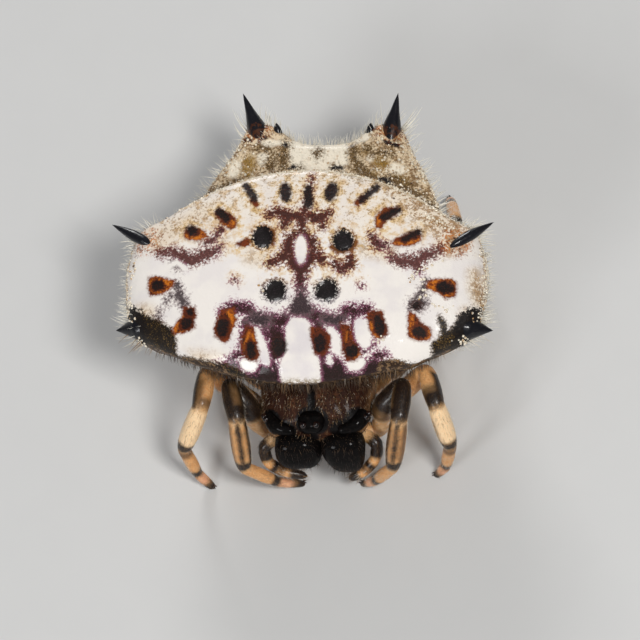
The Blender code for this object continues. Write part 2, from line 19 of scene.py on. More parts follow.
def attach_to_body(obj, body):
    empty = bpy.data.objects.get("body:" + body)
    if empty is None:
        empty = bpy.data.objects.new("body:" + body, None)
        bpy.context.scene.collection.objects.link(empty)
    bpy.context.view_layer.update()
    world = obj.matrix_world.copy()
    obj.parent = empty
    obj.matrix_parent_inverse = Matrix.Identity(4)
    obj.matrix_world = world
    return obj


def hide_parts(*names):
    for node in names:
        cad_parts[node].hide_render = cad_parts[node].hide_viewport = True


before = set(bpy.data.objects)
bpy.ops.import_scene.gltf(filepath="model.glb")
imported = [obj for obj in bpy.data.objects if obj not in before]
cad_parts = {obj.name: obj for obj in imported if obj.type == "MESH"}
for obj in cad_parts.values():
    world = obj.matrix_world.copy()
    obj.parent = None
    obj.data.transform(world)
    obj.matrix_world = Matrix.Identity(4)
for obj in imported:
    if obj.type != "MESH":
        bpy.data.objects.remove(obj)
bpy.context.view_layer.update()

Array = np.ndarray
Thing = bpy.types.Object
Material = bpy.types.Material
Socket = bpy.types.NodeSocket
Point = tuple[float, float, float]
Knots = tuple[tuple[float, float], ...]

log = logging.getLogger("spiny_orb_weaver")

MM = 0.001
BODY = "root"
CENTRE_SHIFT = np.array((0.0, -3.38, 0.0))
SKIN_INSET = 0.02
HEAD_TURN = math.radians(1.6)
HEAD_PIVOT = np.array((0.0, 2.0, 0.0))
HEAD_SHIFT = np.array((0.13, 0.0, 0.0))

# The chart looks along the model's main viewing direction, in units of 1/41.7 mm.
# Marks on the plate are placed in it.
CHART_SCALE = 41.7
CHART_ORIGIN = (321.5, 383.0)
CHART_ACROSS = (41.1, 3.2, -6.4)
CHART_DOWN = (0.896, 0.4445)
CHART_START = 1.7335
PLATE_MIDDLE = 303.0
TONGUE_MIDDLE = 300.0
CHART_LOOK = np.array((0.1716, -0.438, 0.8825))
CHART_LOOK = CHART_LOOK / np.linalg.norm(CHART_LOOK)


class Slot(Enum):
    """Material slots."""

    ABDOMEN = "abdomen_enamel"
    BROWN = "dark_brown"
    JAW = "jaw_black"
    EYE = "eye_black"
    LEG = "leg_tan"


class Side(Enum):
    """The spider's sides, as they show when it faces the viewer."""

    LEFT = -1.0
    RIGHT = 1.0

    @property
    def word(self) -> str:
        """Return the side's word in a node name."""
        return self.name.lower()

    @property
    def number(self) -> int:
        """Return 0 for the left and 1 for the right."""
        return int(self.value > 0.0)


def unit(vectors: Array) -> Array:
    """Return vectors scaled to length one."""
    lengths = np.linalg.norm(vectors, axis=-1, keepdims=True)
    return vectors / np.maximum(lengths, 1e-9)


def step(low: float, high: float, values: Array) -> Array:
    """Return a smooth rise from 0 at low to 1 at high.

    Args:
        low: where the rise starts.
        high: where the rise ends, which may be below low.
        values: the numbers to grade.

    Returns:
        Numbers from 0 to 1.
    """
    share = np.clip((values - low) / (high - low), 0.0, 1.0)
    return share * share * (3.0 - 2.0 * share)


def bump(values: Array, middle: float, width: float) -> Array:
    """Return a bell that is 1 at a middle value and fades over a width."""
    return np.exp(-(((values - middle) / width) ** 2))


def mirrored(point: Sequence[float], side: Side) -> Array:
    """Return a right-hand point, or its mirror image on the left."""
    return np.array((point[0] * side.value, point[1], point[2]))


def turned(points: Array) -> Array:
    """Return points turned with the head, about the waist, and moved to its side."""
    cos, sin = math.cos(HEAD_TURN), math.sin(HEAD_TURN)
    turn = np.array(((cos, -sin, 0.0), (sin, cos, 0.0), (0.0, 0.0, 1.0)))
    return (points - HEAD_PIVOT) @ turn.T + HEAD_PIVOT + HEAD_SHIFT


def to_frame(points: Array) -> Array:
    """Return points in millimetres as metres in the frame."""
    return (np.asarray(points, dtype=float) + CENTRE_SHIFT) * MM


def chart(points: Array) -> tuple[Array, Array]:
    """Return where points lie in the chart, across and down.

    Args:
        points: places in millimetres, the last axis being x, y and z.

    Returns:
        The two chart coordinates.
    """
    x, y, z = points[..., 0], points[..., 1], points[..., 2]
    across = CHART_ORIGIN[0] + CHART_ACROSS[0] * x + CHART_ACROSS[1] * y + CHART_ACROSS[2] * z
    down = CHART_ORIGIN[1] - CHART_SCALE * (CHART_DOWN[0] * y + CHART_DOWN[1] * z - CHART_START)
    return across, down


class Track:
    """Values at places along a line, joined by a cubic that never swings past them."""

    def __init__(self, places: Sequence[float], values: Sequence) -> None:
        """Keep the places and values and work out the slopes.

        Args:
            places: rising places.
            values: a number or a row of numbers for each place.
        """
        self.places = np.array(places, dtype=float)
        self.values = np.array(values, dtype=float)
        if self.values.ndim == 1:
            self.values = self.values[:, None]
        steps = np.diff(self.places)[:, None]
        rises = np.diff(self.values, axis=0) / steps
        slopes = np.zeros_like(self.values)
        slopes[0], slopes[-1] = rises[0], rises[-1]
        before, after = rises[:-1], rises[1:]
        near = 2.0 * steps[1:] + steps[:-1]
        far = steps[1:] + 2.0 * steps[:-1]
        same = before * after > 0.0
        safe_before = np.where(same, before, 1.0)
        safe_after = np.where(same, after, 1.0)
        slopes[1:-1] = np.where(same, (near + far) / (near / safe_before + far / safe_after), 0.0)
        self.slopes = slopes

    def at(self, places: Array) -> Array:
        """Return the rows at places, with one more axis than the places."""
        places = np.asarray(places, dtype=float)
        i = np.clip(np.searchsorted(self.places, places, side="right") - 1, 0, len(self.places) - 2)
        width = (self.places[i + 1] - self.places[i])[..., None]
        t = ((places - self.places[i])[..., None]) / width
        h00 = (1.0 + 2.0 * t) * (1.0 - t) ** 2
        h10 = t * (1.0 - t) ** 2
        h01 = t * t * (3.0 - 2.0 * t)
        h11 = t * t * (t - 1.0)
        ends = h00 * self.values[i] + h01 * self.values[i + 1]
        return ends + width * (h10 * self.slopes[i] + h11 * self.slopes[i + 1])

    def value(self, places: Array) -> Array:
        """Return the first column at places."""
        return self.at(places)[..., 0]


def superellipse(angles: Array, power: Array) -> tuple[Array, Array]:
    """Return how far out and how far up a rounded section reaches at angles."""
    across, up = np.sin(angles), np.cos(angles)
    out = np.sign(across) * np.abs(across) ** (2.0 / power)
    rise = np.sign(up) * np.abs(up) ** (2.0 / power)
    return out, rise


# Marks in a chart


@dataclass(frozen=True)
class Oval:
    """An oval mark: its centre, its two half sizes and its turn in degrees."""

    x: float
    y: float
    across: float
    down: float
    turn: float = 0.0

    def depth(self, u: Array, v: Array) -> Array:
        """Return how deep chart points lie inside the mark, negative outside."""
        angle = math.radians(self.turn)
        du, dv = u - self.x, v - self.y
        a = du * math.cos(angle) + dv * math.sin(angle)
        b = dv * math.cos(angle) - du * math.sin(angle)
        reach = np.hypot(a / self.across, b / self.down)
        slope = np.hypot(a / self.across**2, b / self.down**2)
        smallest = min(self.across, self.down)
        return np.minimum((1.0 - reach) * reach / np.maximum(slope, 1e-6), smallest * (1.0 - reach * 0.5))


@dataclass(frozen=True)
class Stroke:
    """A brush stroke through points, each with its own half width."""

    points: tuple[Point, ...]

    def depth(self, u: Array, v: Array) -> Array:
        """Return how deep chart points lie inside the mark, negative outside."""
        best = np.full(u.shape, -1e3)
        for (x0, y0, r0), (x1, y1, r1) in zip(self.points, self.points[1:]):
            dx, dy = x1 - x0, y1 - y0
            share = np.clip(((u - x0) * dx + (v - y0) * dy) / (dx * dx + dy * dy), 0.0, 1.0)
            away = np.hypot(u - x0 - share * dx, v - y0 - share * dy)
            best = np.maximum(best, r0 + (r1 - r0) * share - away)
        return best


@dataclass(frozen=True)
class Patch:
    """A patch inside a ring of corners, which it rounds by a radius."""

    corners: tuple[tuple[float, float], ...]
    round: float = 1.5

    def depth(self, u: Array, v: Array) -> Array:
        """Return how deep chart points lie inside the mark, negative outside."""
        away = np.full(u.shape, 1e3)
        inside = np.zeros(u.shape, dtype=bool)
        for (x0, y0), (x1, y1) in zip(self.corners, self.corners[1:] + self.corners[:1]):
            dx, dy = x1 - x0, y1 - y0
            share = np.clip(((u - x0) * dx + (v - y0) * dy) / (dx * dx + dy * dy), 0.0, 1.0)
            away = np.minimum(away, np.hypot(u - x0 - share * dx, v - y0 - share * dy))
            if dy != 0.0:
                crosses = (y0 > v) != (y1 > v)
                inside ^= crosses & (u < x0 + (v - y0) * dx / dy)
        return np.where(inside, away, -away) + self.round * 0.5


Mark = Oval | Stroke | Patch


def deepest(marks: Sequence[Mark], u: Array, v: Array, scale: float) -> Array:
    """Return how deep points lie in the deepest of several marks, in millimetres.

    Args:
        marks: the marks of one layer.
        u: places across the chart.
        v: places down the chart.
        scale: chart units in a millimetre.

    Returns:
        Depths, positive inside, never below -1.
    """
    best = np.full(u.shape, -1.0)
    for mark in marks:
        best = np.maximum(best, mark.depth(u, v) / scale)
    return best


class Layer(Enum):
    """Layers of markings on the plate, from the lowest to the uppermost."""

    TAN = "tan"
    MAROON = "maroon"
    GREY = "grey"
    DARK = "dark"
    WHITE = "white"
    ORANGE = "orange"
    GLOW = "glow"
    CORE = "core"
    PIT = "pit"
    FRONT = "front"


PLATE_MARKS: dict[Layer, tuple[Mark, ...]] = {
    Layer.PIT: (
        Oval(262.5, 236.6, 10.4, 10.8),
        Oval(343.2, 240, 10.6, 10.8),
        Patch(((267, 285), (273, 281), (281, 282), (284, 290), (282, 297), (275, 299), (268, 297),
               (265, 291)), 3),
        Patch(((319, 284), (326, 280), (333, 282), (336, 290), (333, 296), (326, 299), (319, 296),
               (317, 290)), 3),
    ),
    Layer.ORANGE: (
        Patch(((148.4, 278.6), (156, 277), (173, 281.4), (170, 287.7), (160.3, 293), (150.5, 295),
               (148.4, 290))),
        Patch(((184.5, 307.5), (194.7, 308.7), (195, 315), (192.6, 319.3), (193.7, 327.7), (184.2, 331.2),
               (175.8, 333.6), (172.7, 329.8), (176.5, 323.5), (182.8, 316.5))),
        Patch(((222, 311), (232.6, 308.7), (235.4, 318), (232.6, 326.3), (228.4, 339), (224.2, 341.4),
               (216.5, 336), (214.4, 327.7), (218, 320.7))),
        Patch(((247.3, 326.3), (252.9, 328.4), (255.7, 341.7), (258, 351.5), (256.4, 360), (250, 360),
               (243, 354.3), (241.7, 340.3))),
        Patch(((311.5, 328), (321, 329), (329, 335), (328.8, 348.7), (322.4, 354), (315.4, 353), (312, 340))),
        Patch(((341.5, 324), (349, 326), (352, 340.3), (360.3, 354.3), (354.7, 359.3), (347.7, 360),
               (342.8, 351.5), (343.5, 340.3))),
        Patch(((368, 314), (373, 310.8), (382, 312.2), (384.2, 322), (387, 333.3), (382.8, 336.8),
               (375.8, 337.5), (370.2, 329))),
        Patch(((409.4, 313.7), (415, 315), (419.3, 322), (430.5, 330.5), (430.5, 339), (419.3, 339.6),
               (408.7, 336.8))),
        Patch(((427, 284), (434.7, 280), (452.2, 279.3), (455.7, 284.2), (454.3, 295.4), (447.3, 298),
               (439, 292.6), (429, 288.4))),
        Patch(((184.2, 231), (191.2, 226.7), (203.8, 231), (206, 236.5), (196.8, 240), (185.6, 237.2))),
        Patch(((215, 212.6), (219.3, 208.4), (226.3, 212.6), (234.7, 218.2), (235.4, 225.3), (230.5, 228),
               (222, 222.5))),
        Patch(((375.8, 216.8), (384.2, 208.4), (398.2, 207.7), (396.8, 214), (387, 218.2), (380.7, 227.4),
               (376.5, 226.7))),
        Patch(((392, 242), (403.8, 235), (418, 231), (421, 236.5), (418, 242), (406.6, 245), (395.4, 244.2))),
        Stroke(((357, 203, 2.5), (363, 198, 3))),
        Stroke(((252, 199, 2), (257, 205, 1.5))),
        Stroke(((247, 242, 4), (238, 244, 2))),
        Stroke(((263, 225.5, 1.5), (272.5, 232, 2.4), (272.5, 243, 2.4))),
        Stroke(((331.5, 246, 2.2), (338, 251, 2.6), (352, 249, 2.2), (355, 243, 2.6))),
    ),
    Layer.GLOW: (
        Oval(160, 284.6, 12.5, 8.5, -6),
        Stroke(((174.4, 330.4, 2.2), (176.4, 324.4, 1.6), (182.4, 316.4, 1.2))),
        Stroke(((180, 333, 1.4), (190, 331.6, 1))),
        Stroke(((229.6, 312.6, 3), (233.4, 321, 2), (231, 328, 1))),
        Stroke(((216, 334.6, 1.6), (217.6, 326, 0.8))),
        Stroke(((249.6, 331.4, 1.4), (245.6, 341.6, 1.2), (244.4, 350.6, 0.8))),
        Stroke(((252, 334, 1.4), (254.2, 341, 1))),
        Stroke(((347, 331, 0.3), (346, 342, 0.5))),
        Stroke(((355, 356.6, 2.4), (359.6, 354.4, 1.6))),
        Stroke(((371, 322, 1.2), (371.6, 328, 2), (376, 336, 1.8), (381.6, 336.6, 1.4))),
        Stroke(((411.6, 316, 2), (411.4, 332, 1.8), (414.6, 338, 1.6), (429, 338, 1.8), (428.8, 331.6, 1.4))),
        Oval(441, 287, 15.5, 10, 6),
        Stroke(((186.4, 235.6, 2), (196, 238.2, 2.6), (204.6, 235, 2), (200, 230.6, 0.8))),
        Stroke(((223, 224, 1.4), (231.6, 222.6, 3.4))),
        Stroke(((216.6, 213.6, 1.2), (220, 220, 1))),
        Stroke(((378.4, 224, 1.6), (380, 217, 3), (386, 211, 1.6))),
        Stroke(((393.6, 243.6, 1.4), (408, 243, 2.2), (419, 237.6, 2.4))),
        Stroke(((402, 236.6, 0.8), (412, 233, 0.6))),
        Stroke(((359, 202.6, 1.6), (362, 199.6, 1.4))),
    ),
    Layer.CORE: (
        Oval(156.8, 285.2, 6.6, 4.6, -8),
        Oval(186.3, 323.5, 6.2, 4.8, -20),
        Oval(190.2, 312.4, 3.4, 3.4),
        Oval(222.6, 327.7, 5.2, 9.4, 12),
        Oval(250.6, 350, 4.8, 8.2, -4),
        Oval(278.9, 346.8, 6.2, 9),
        Oval(319.6, 343, 5.8, 8.8),
        Oval(351.4, 351, 5.8, 6.2, -20),
        Oval(379.4, 324.9, 4.4, 10.4, -16),
        Oval(419.8, 332.2, 7, 4.6, 24),
        Oval(445.4, 287.4, 8.6, 5, 4),
        Oval(192, 230.2, 5.8, 4, 20),
        Stroke(((218.8, 211.4, 3.2), (226, 217.8, 3.6))),
        Stroke(((384.4, 216.2, 3.4), (398, 210, 3))),
        Stroke(((404.6, 238.4, 2.8), (418.4, 232.4, 2.8))),
        Stroke(((245.4, 184.6, 2.6), (254, 197, 3))),
        Stroke(((361, 200, 2.4), (377.6, 186, 2.6))),
        Oval(285.4, 191.4, 5, 9, -6),
        Oval(331.4, 191.2, 5.2, 9.2, 14),
        Stroke(((308.2, 187, 2.6), (308, 203, 4.4))),
        Oval(416.4, 305.2, 4.4, 3, -20),
    ),
    Layer.MAROON: (
        Stroke(((221, 312, 2.5), (232, 306.6, 4.5), (246, 308.5, 5.5), (252, 315, 6), (261.4, 318.5, 6.5),
                (279.6, 322, 6), (288, 317, 5.5), (300.6, 309, 8))),
        Stroke(((300.6, 309, 8), (314, 315, 6), (328, 319, 6.5), (338, 319, 5.5), (347.7, 310, 5),
                (368, 310, 4.5))),
        Stroke(((271, 326, 5), (277, 336, 9.5), (278, 348, 9.5), (271, 360, 4), (276, 370, 5))),
        Stroke(((247, 322, 5), (246, 338, 4.6), (243, 352, 4), (231, 359, 3), (240, 368, 2.6))),
        Stroke(((262, 322, 4.5), (270, 340, 2.5), (271, 356, 3))),
        Stroke(((318, 326, 6.5), (319.5, 342, 9.5), (324, 357, 4.5))),
        Stroke(((333, 322, 5.5), (344.5, 330, 5), (347, 346, 6), (352, 356, 6))),
        Stroke(((353, 317, 2.4), (352, 332, 2.2), (357, 348, 1.4), (362, 352.2, 1.6), (370.2, 348.7, 1.6),
                (375, 341, 1.4))),
        Oval(380, 356, 8, 4.5),
        Stroke(((302, 216, 3.8), (301.6, 232, 3.6))),
        Stroke(((312, 175, 1.4), (310.6, 186, 2), (307, 203, 3), (302.6, 216, 3.4))),
        Stroke(((268.4, 214, 2.6), (277, 210.5, 4.2), (288, 215.4, 5.6), (300, 215.4, 3.6))),
        Stroke(((288, 216, 4), (283.8, 224.5, 3.6))),
        Stroke(((329, 212.5, 3.4), (319.6, 217.6, 5.4), (308.4, 215.4, 3.6))),
        Stroke(((320, 218, 4), (322.6, 225, 3.4))),
        Stroke(((300.6, 231, 3), (289.4, 238, 4.2), (288, 247.7, 5.6), (292.2, 260.3, 5),
                (299.2, 270.2, 5.2))),
        Stroke(((302, 231, 3), (311.9, 240.7, 4.2), (313.3, 249, 5), (309, 260.3, 5), (302, 270.2, 5.2))),
        Stroke(((287, 255, 4.6), (276, 260, 4), (268.4, 263, 2.6))),
        Stroke(((313, 252, 4.6), (321.5, 259, 4))),
        Stroke(((333.7, 262.5, 2.8), (342, 268.4, 3.8), (350.5, 263.5, 3.8), (350, 256.5, 2.2))),
        Stroke(((300.6, 270, 5.8), (300.6, 290, 3.8), (300.6, 300, 5))),
        Stroke(((158.9, 252.6, 1.6), (173, 251.4, 3.6), (182.8, 256.4, 5), (190, 260, 5), (204, 254.7, 4.4),
                (219.3, 247.7, 2.8))),
        Stroke(((392.6, 257.5, 3), (403.8, 261.4, 4.8), (416.5, 260.3, 4.8), (426.3, 254.7, 4),
                (441, 249, 2.6))),
        Stroke(((416.5, 262, 3.6), (419.3, 270, 3))),
        Oval(234.7, 280.4, 1.3, 0.7, 15),
        Oval(361, 285.4, 1.3, 0.7, -15),
        Stroke(((220, 228, 2), (214, 238, 2.5), (205, 243, 1.6))),
        Stroke(((372, 235, 2.5), (377, 243, 4.5), (386, 246, 2.5))),
        Patch(((214, 366), (234.7, 361), (241.7, 374), (254.3, 375.4), (261.4, 365.6), (279.6, 369.8),
               (285.2, 384), (275.4, 390), (220.7, 378)), 3),
        Patch(((319.6, 360), (335, 357.2), (342, 362.8), (346.3, 372.6), (360.3, 375.4), (367.4, 361.4),
               (381, 360.5), (386, 374), (377.2, 386), (325.3, 390), (319, 376)), 3),
    ),
    Layer.GREY: (
        Oval(258.6, 319.6, 11, 5.4, 8),
        Oval(333, 319.6, 10, 4.8, -4),
        Patch(((294, 300), (300.6, 292), (307.5, 301), (310, 310), (300.6, 314), (290, 313)), 3),
        Stroke(((175.8, 284.2, 2.4), (178.6, 295.4, 4.8), (184.2, 303.8, 4.6), (188.4, 309.4, 2.2))),
        Stroke(((170, 296, 1.6), (166, 303, 1.4))),
        Stroke(((158.9, 310.8, 1.8), (157.5, 321, 2.6))),
        Stroke(((426, 282, 2.2), (422.5, 291, 3.6), (418, 302, 5))),
        Oval(417.6, 303.6, 9.2, 6.8, -24),
        Stroke(((172, 264, 2.4), (178, 268, 1.4))),
    ),
    Layer.DARK: (
        Patch(((141, 315), (156, 321.5), (171.6, 330.5), (173.7, 339), (174.4, 354.3), (178, 359), (163, 358),
               (147, 350), (128, 338), (120, 326), (136, 317)), 2),
        Patch(((462, 314.5), (454.3, 328), (444.5, 334), (433.5, 344.5), (434.7, 359), (440, 366), (460, 362),
               (477, 348), (490, 334), (496, 324), (476, 316.5)), 2),
        Stroke(((176, 358.6, 2), (198, 363.5, 3.2), (222, 368, 3.4), (240, 376, 4))),
        Stroke(((384, 364, 3.4), (400, 366, 3), (414, 370, 2.6), (436, 366, 3))),
        Stroke(((440, 317.5, 1.8), (442.6, 324, 2.6), (445.4, 331.5, 2.8))),
    ),
    Layer.FRONT: (
        Patch(((180, 360), (206, 363.5), (222, 369), (232, 377), (232, 392), (200, 384), (176, 366)), 2),
        Patch(((379, 370), (385, 362), (398, 360.6), (412, 364.4), (424, 363.6), (434, 359.6), (446, 366),
               (430, 382), (404, 390), (380, 392)), 2),
        Stroke(((284, 385, 1.2), (300, 385.6, 1.6), (316, 384.6, 1.2))),
    ),
    Layer.WHITE: (
        Patch(((292.2, 317), (288, 326.3), (286.6, 340.3), (285.2, 354.3), (281.5, 365.6), (281, 378),
               (284, 392), (318, 392), (320, 377), (318, 361.4), (314, 352.9), (311.2, 340.3), (310.6, 327),
               (304.2, 320)), 2),
        Stroke(((255.5, 331, 3.2), (261.4, 347.3, 4.6), (267, 361.4, 3.6))),
        Oval(248.7, 364.6, 8.4, 6.2, 6),
        Stroke(((330.8, 330, 3.6), (336.6, 341.7, 5), (338.6, 351, 3.8))),
        Oval(356, 364, 8.8, 5.6, -8),
        Oval(329.6, 360.2, 3, 5.2, -10),
        Stroke(((358.9, 323.5, 4.6), (361.5, 336, 6), (365.5, 343, 4.6))),
        Oval(300.9, 249.2, 5.4, 14.2),
        Stroke(((165, 268, 3), (176, 262, 2), (185, 268, 2))),
    ),
    Layer.TAN: (
        Patch(((148, 234), (172, 222), (196, 209), (218, 200), (222, 206), (200, 220), (180, 232),
               (160, 243)), 3),
        Patch(((384, 180), (410, 190), (440, 206), (468, 230), (466, 244), (440, 236), (420, 222),
               (396, 200)), 3),
        Oval(257, 256, 12, 6),
        Oval(371.6, 249, 8, 4),
        Oval(157, 237, 14, 11),
        Oval(452, 243, 16, 9, -20),
        Oval(144, 312, 9, 5),
        Oval(474, 316, 11, 6),
        Oval(205, 357, 12, 3, 8),
        Oval(222, 244, 6, 5),
        Oval(386, 252, 7, 5),
        Stroke(((474, 274, 2.6), (477, 287, 4.6), (480, 303, 3.6))),
    ),
}

# Pale beads laid where the light glints, in the same chart: painted highlights made as granules, with some
# real granules along the margins.
GLINT_BEADS: tuple[Mark, ...] = (
    Stroke(((408, 282, 2.6), (414, 275, 3), (424, 268.4, 3.2), (434, 264.6, 1.8), (446, 262.4, 1.6))),
    Stroke(((423, 279, 2.2), (425.6, 290, 2.6), (421, 297.6, 3.2))),
    Stroke(((430, 303, 2.4), (436, 306, 1.6), (448, 310, 1.8), (457, 306, 1.8))),
    Stroke(((376, 342, 2.8), (382, 340, 3.2))),
    Stroke(((259.8, 284, 1.8), (260.6, 290, 2))),
    Stroke(((284, 162.8, 2), (290, 162.2, 1.6))),
    Stroke(((327, 163, 1.6), (333, 162.8, 2))),
    Stroke(((371, 168, 2), (387, 168.6, 2))),
    Stroke(((424, 214, 3), (438, 222, 3.4), (452, 228, 2.6))),
    Stroke(((481, 240, 1.6), (485, 262, 1.8), (487, 292, 1.8), (485, 316, 1.8))),
    Stroke(((476, 342, 1.8), (463, 350, 1.8), (449, 358, 1.6))),
    Stroke(((134, 262, 1.4), (130, 285, 1.4), (129, 308, 1.4))),
)

# Marks under the abdomen, in plan: x by y in millimetres.
BELLY_PALE: tuple[Mark, ...] = (
    Oval(-1.55, 3.60, 0.42, 0.85, 18),
    Oval(1.55, 3.60, 0.42, 0.85, -18),
    Oval(-0.75, 5.25, 0.22, 0.38, 12),
    Oval(0.75, 5.25, 0.22, 0.38, -12),
    Oval(-2.75, 3.10, 0.30, 0.42, 30),
    Oval(2.75, 3.10, 0.30, 0.42, -30),
    Oval(0, 6.10, 0.30, 0.20),
)
BELLY_FURROW: tuple[Mark, ...] = (
    Stroke(((-1.6, 2.75, 0.03), (-0.7, 2.92, 0.06), (0, 2.86, 0.07), (0.7, 2.92, 0.06), (1.6, 2.75, 0.03))),
    Stroke(((-0.95, 2.25, 0.03), (-1.25, 2.55, 0.05), (-1.35, 2.82, 0.03))),
    Stroke(((0.95, 2.25, 0.03), (1.25, 2.55, 0.05), (1.35, 2.82, 0.03))),
)

# Marks on the lobe behind the ridge, in the same chart as the plate's; among them painted shade in the groove
# at the ridge's foot and a painted highlight along the rear rim.
LOBE_MARKS: dict[str, tuple[Mark, ...]] = {
    "lobe_white_and_rim_highlight": (
        Patch(((290, 143), (318, 140), (347, 142), (347, 158), (344, 168), (294, 167), (290, 158)), 3),
        # This stroke and the ovals at v 142 and 137 along the rear rim paint its bright edge: a painted
        # highlight. The rest is the lobe's own white.
        Stroke(((258, 140, 1.6), (286, 141.6, 2.2), (318, 140.4, 2.8), (348, 138.4, 3), (366, 133, 2.6))),
        Oval(268, 142, 7, 4),
        Oval(262, 157, 5, 6),
        Oval(397, 168, 8, 5, 20),
        Oval(371, 156, 4, 4),
        Oval(234, 168, 5, 9, 30),
        Oval(362, 137, 8, 3, -14),
    ),
    "lobe_dark": (
        Stroke(((286, 143, 3.4), (284.6, 153, 4.2), (280, 165, 4))),
        Stroke(((353, 146, 3.4), (355, 156, 5.6), (360, 168, 6), (372, 176, 4))),
        Stroke(((258, 146, 3.6), (270, 148, 2.6), (276, 158, 2))),
        Oval(270.6, 163, 6.4, 4.6, -10),
        Oval(317.6, 151.4, 3.8, 5),
        Stroke(((366, 147, 3.4), (374, 151, 2), (390, 152, 2.6))),
        Stroke(((391, 178, 5), (408, 190, 7), (424, 203, 8), (440, 214, 6))),
        Stroke(((240, 181, 3), (222, 190, 3.6), (206, 199, 3.6))),
        # These three strokes darken the groove at the ridge's foot round its black spots: painted shade. The
        # marks above are the lobe's brown patches.
        Stroke(((292, 167.6, 1.8), (300, 166.8, 2.4))),
        Stroke(((333, 167.2, 2.2), (341, 167.6, 2))),
        Stroke(((380, 178, 1.8), (388, 181, 2.6))),
    ),
    "lobe_olive": (
        Oval(248.4, 164, 6.8, 11, 8),
        Oval(381.6, 160.4, 8, 6.4, 20),
        Oval(365.6, 150, 5, 4),
        Oval(372, 172, 8, 3.6, 16),
        Oval(402, 180, 9, 4.6, 34),
    ),
    "lobe_black_and_groove_shade": (
        # The first three strokes paint the groove at the ridge's foot black: painted shade. The rest are
        # black marks round the spines' feet and on the rear rim.
        Stroke(((288.6, 166.6, 1.2), (293, 165.2, 1.8), (297.4, 166.6, 1))),
        Stroke(((332.6, 166.8, 1.2), (337.6, 165.4, 2), (341.6, 166.8, 1.2))),
        Stroke(((381, 177.8, 1), (387, 178.4, 2.2), (391, 182, 1.2))),
        Stroke(((284.6, 142.6, 1.4), (288, 144.6, 1.2))),
        Stroke(((243, 139, 1), (246.6, 136.6, 2.6), (251, 139.6, 1.4))),
        Stroke(((259, 138, 1), (262.4, 135.6, 2.6), (266, 136.4, 1.2))),
        Stroke(((384, 139, 1.2), (388.4, 141, 2.2), (396.4, 143, 2), (399, 144.6, 0.8))),
        Stroke(((372, 127, 1.6), (378, 127, 1.4))),
    ),
}


# Meshes


def grid_faces(rings: int, columns: int) -> Array:
    """Return the four-sided faces between closed rings of points."""
    ring = np.arange(rings - 1)[:, None] * columns
    here = np.arange(columns)[None, :]
    after = (here + 1) % columns
    corners = (ring + here, ring + after, ring + columns + after, ring + columns + here)
    return np.stack(corners, axis=-1).reshape(-1, 4)


def closed_faces(rings: int, columns: int) -> list[tuple[int, ...]]:
    """Return the faces of rings of points with a pole at each end.

    Args:
        rings: how many rings, without the poles.
        columns: points in a ring.

    Returns:
        Faces by point number, the poles being the last two points.
    """
    faces = [tuple(face) for face in grid_faces(rings, columns).tolist()]
    first = rings * columns
    last_ring = (rings - 1) * columns
    for here in range(columns):
        after = (here + 1) % columns
        faces.append((first, after, here))
        faces.append((first + 1, last_ring + here, last_ring + after))
    return faces


def make_piece(name: str, points: Array, faces: list[tuple[int, ...]], finish: Material) -> Thing:
    """Make a closed, smooth mesh object whose faces point outwards.

    Args:
        name: the piece's name.
        points: places in metres.
        faces: faces by point number.
        finish: its material.

    Returns:
        The new object, linked to the scene.
    """
    mesh = bpy.data.meshes.new(name)
    mesh.from_pydata(points.tolist(), [], faces)
    shape = bmesh.new()
    shape.from_mesh(mesh)
    bmesh.ops.recalc_face_normals(shape, faces=shape.faces)
    if shape.calc_volume(signed=True) < 0.0:
        bmesh.ops.reverse_faces(shape, faces=shape.faces)
    shape.to_mesh(mesh)
    shape.free()
    mesh.shade_smooth()
    mesh.materials.append(finish)
    item = bpy.data.objects.new(name, mesh)
    bpy.context.scene.collection.objects.link(item)
    return item


def paint(item: Thing, name: str, values: Array) -> None:
    """Store a number or a vector for each point of a mesh.

    Args:
        item: the mesh object.
        name: the attribute's name.
        values: one number, or three, for each point.
    """
    values = np.asarray(values, dtype=np.float32)
    kind = "FLOAT_VECTOR" if values.ndim == 2 else "FLOAT"
    layer = item.data.attributes.new(name, kind, "POINT")
    layer.data.foreach_set("vector" if values.ndim == 2 else "value", values.ravel())


def join(name: str, items: Sequence[Thing]) -> Thing:
    """Join closed meshes of one finish into one piece.

    Args:
        name: the name of the joined piece.
        items: the objects to join, which are removed.

    Returns:
        The joined object.
    """
    with bpy.context.temp_override(active_object=items[0], selected_editable_objects=list(items)):
        bpy.ops.object.join()
    items[0].name = name
    items[0].data.name = name
    return items[0]


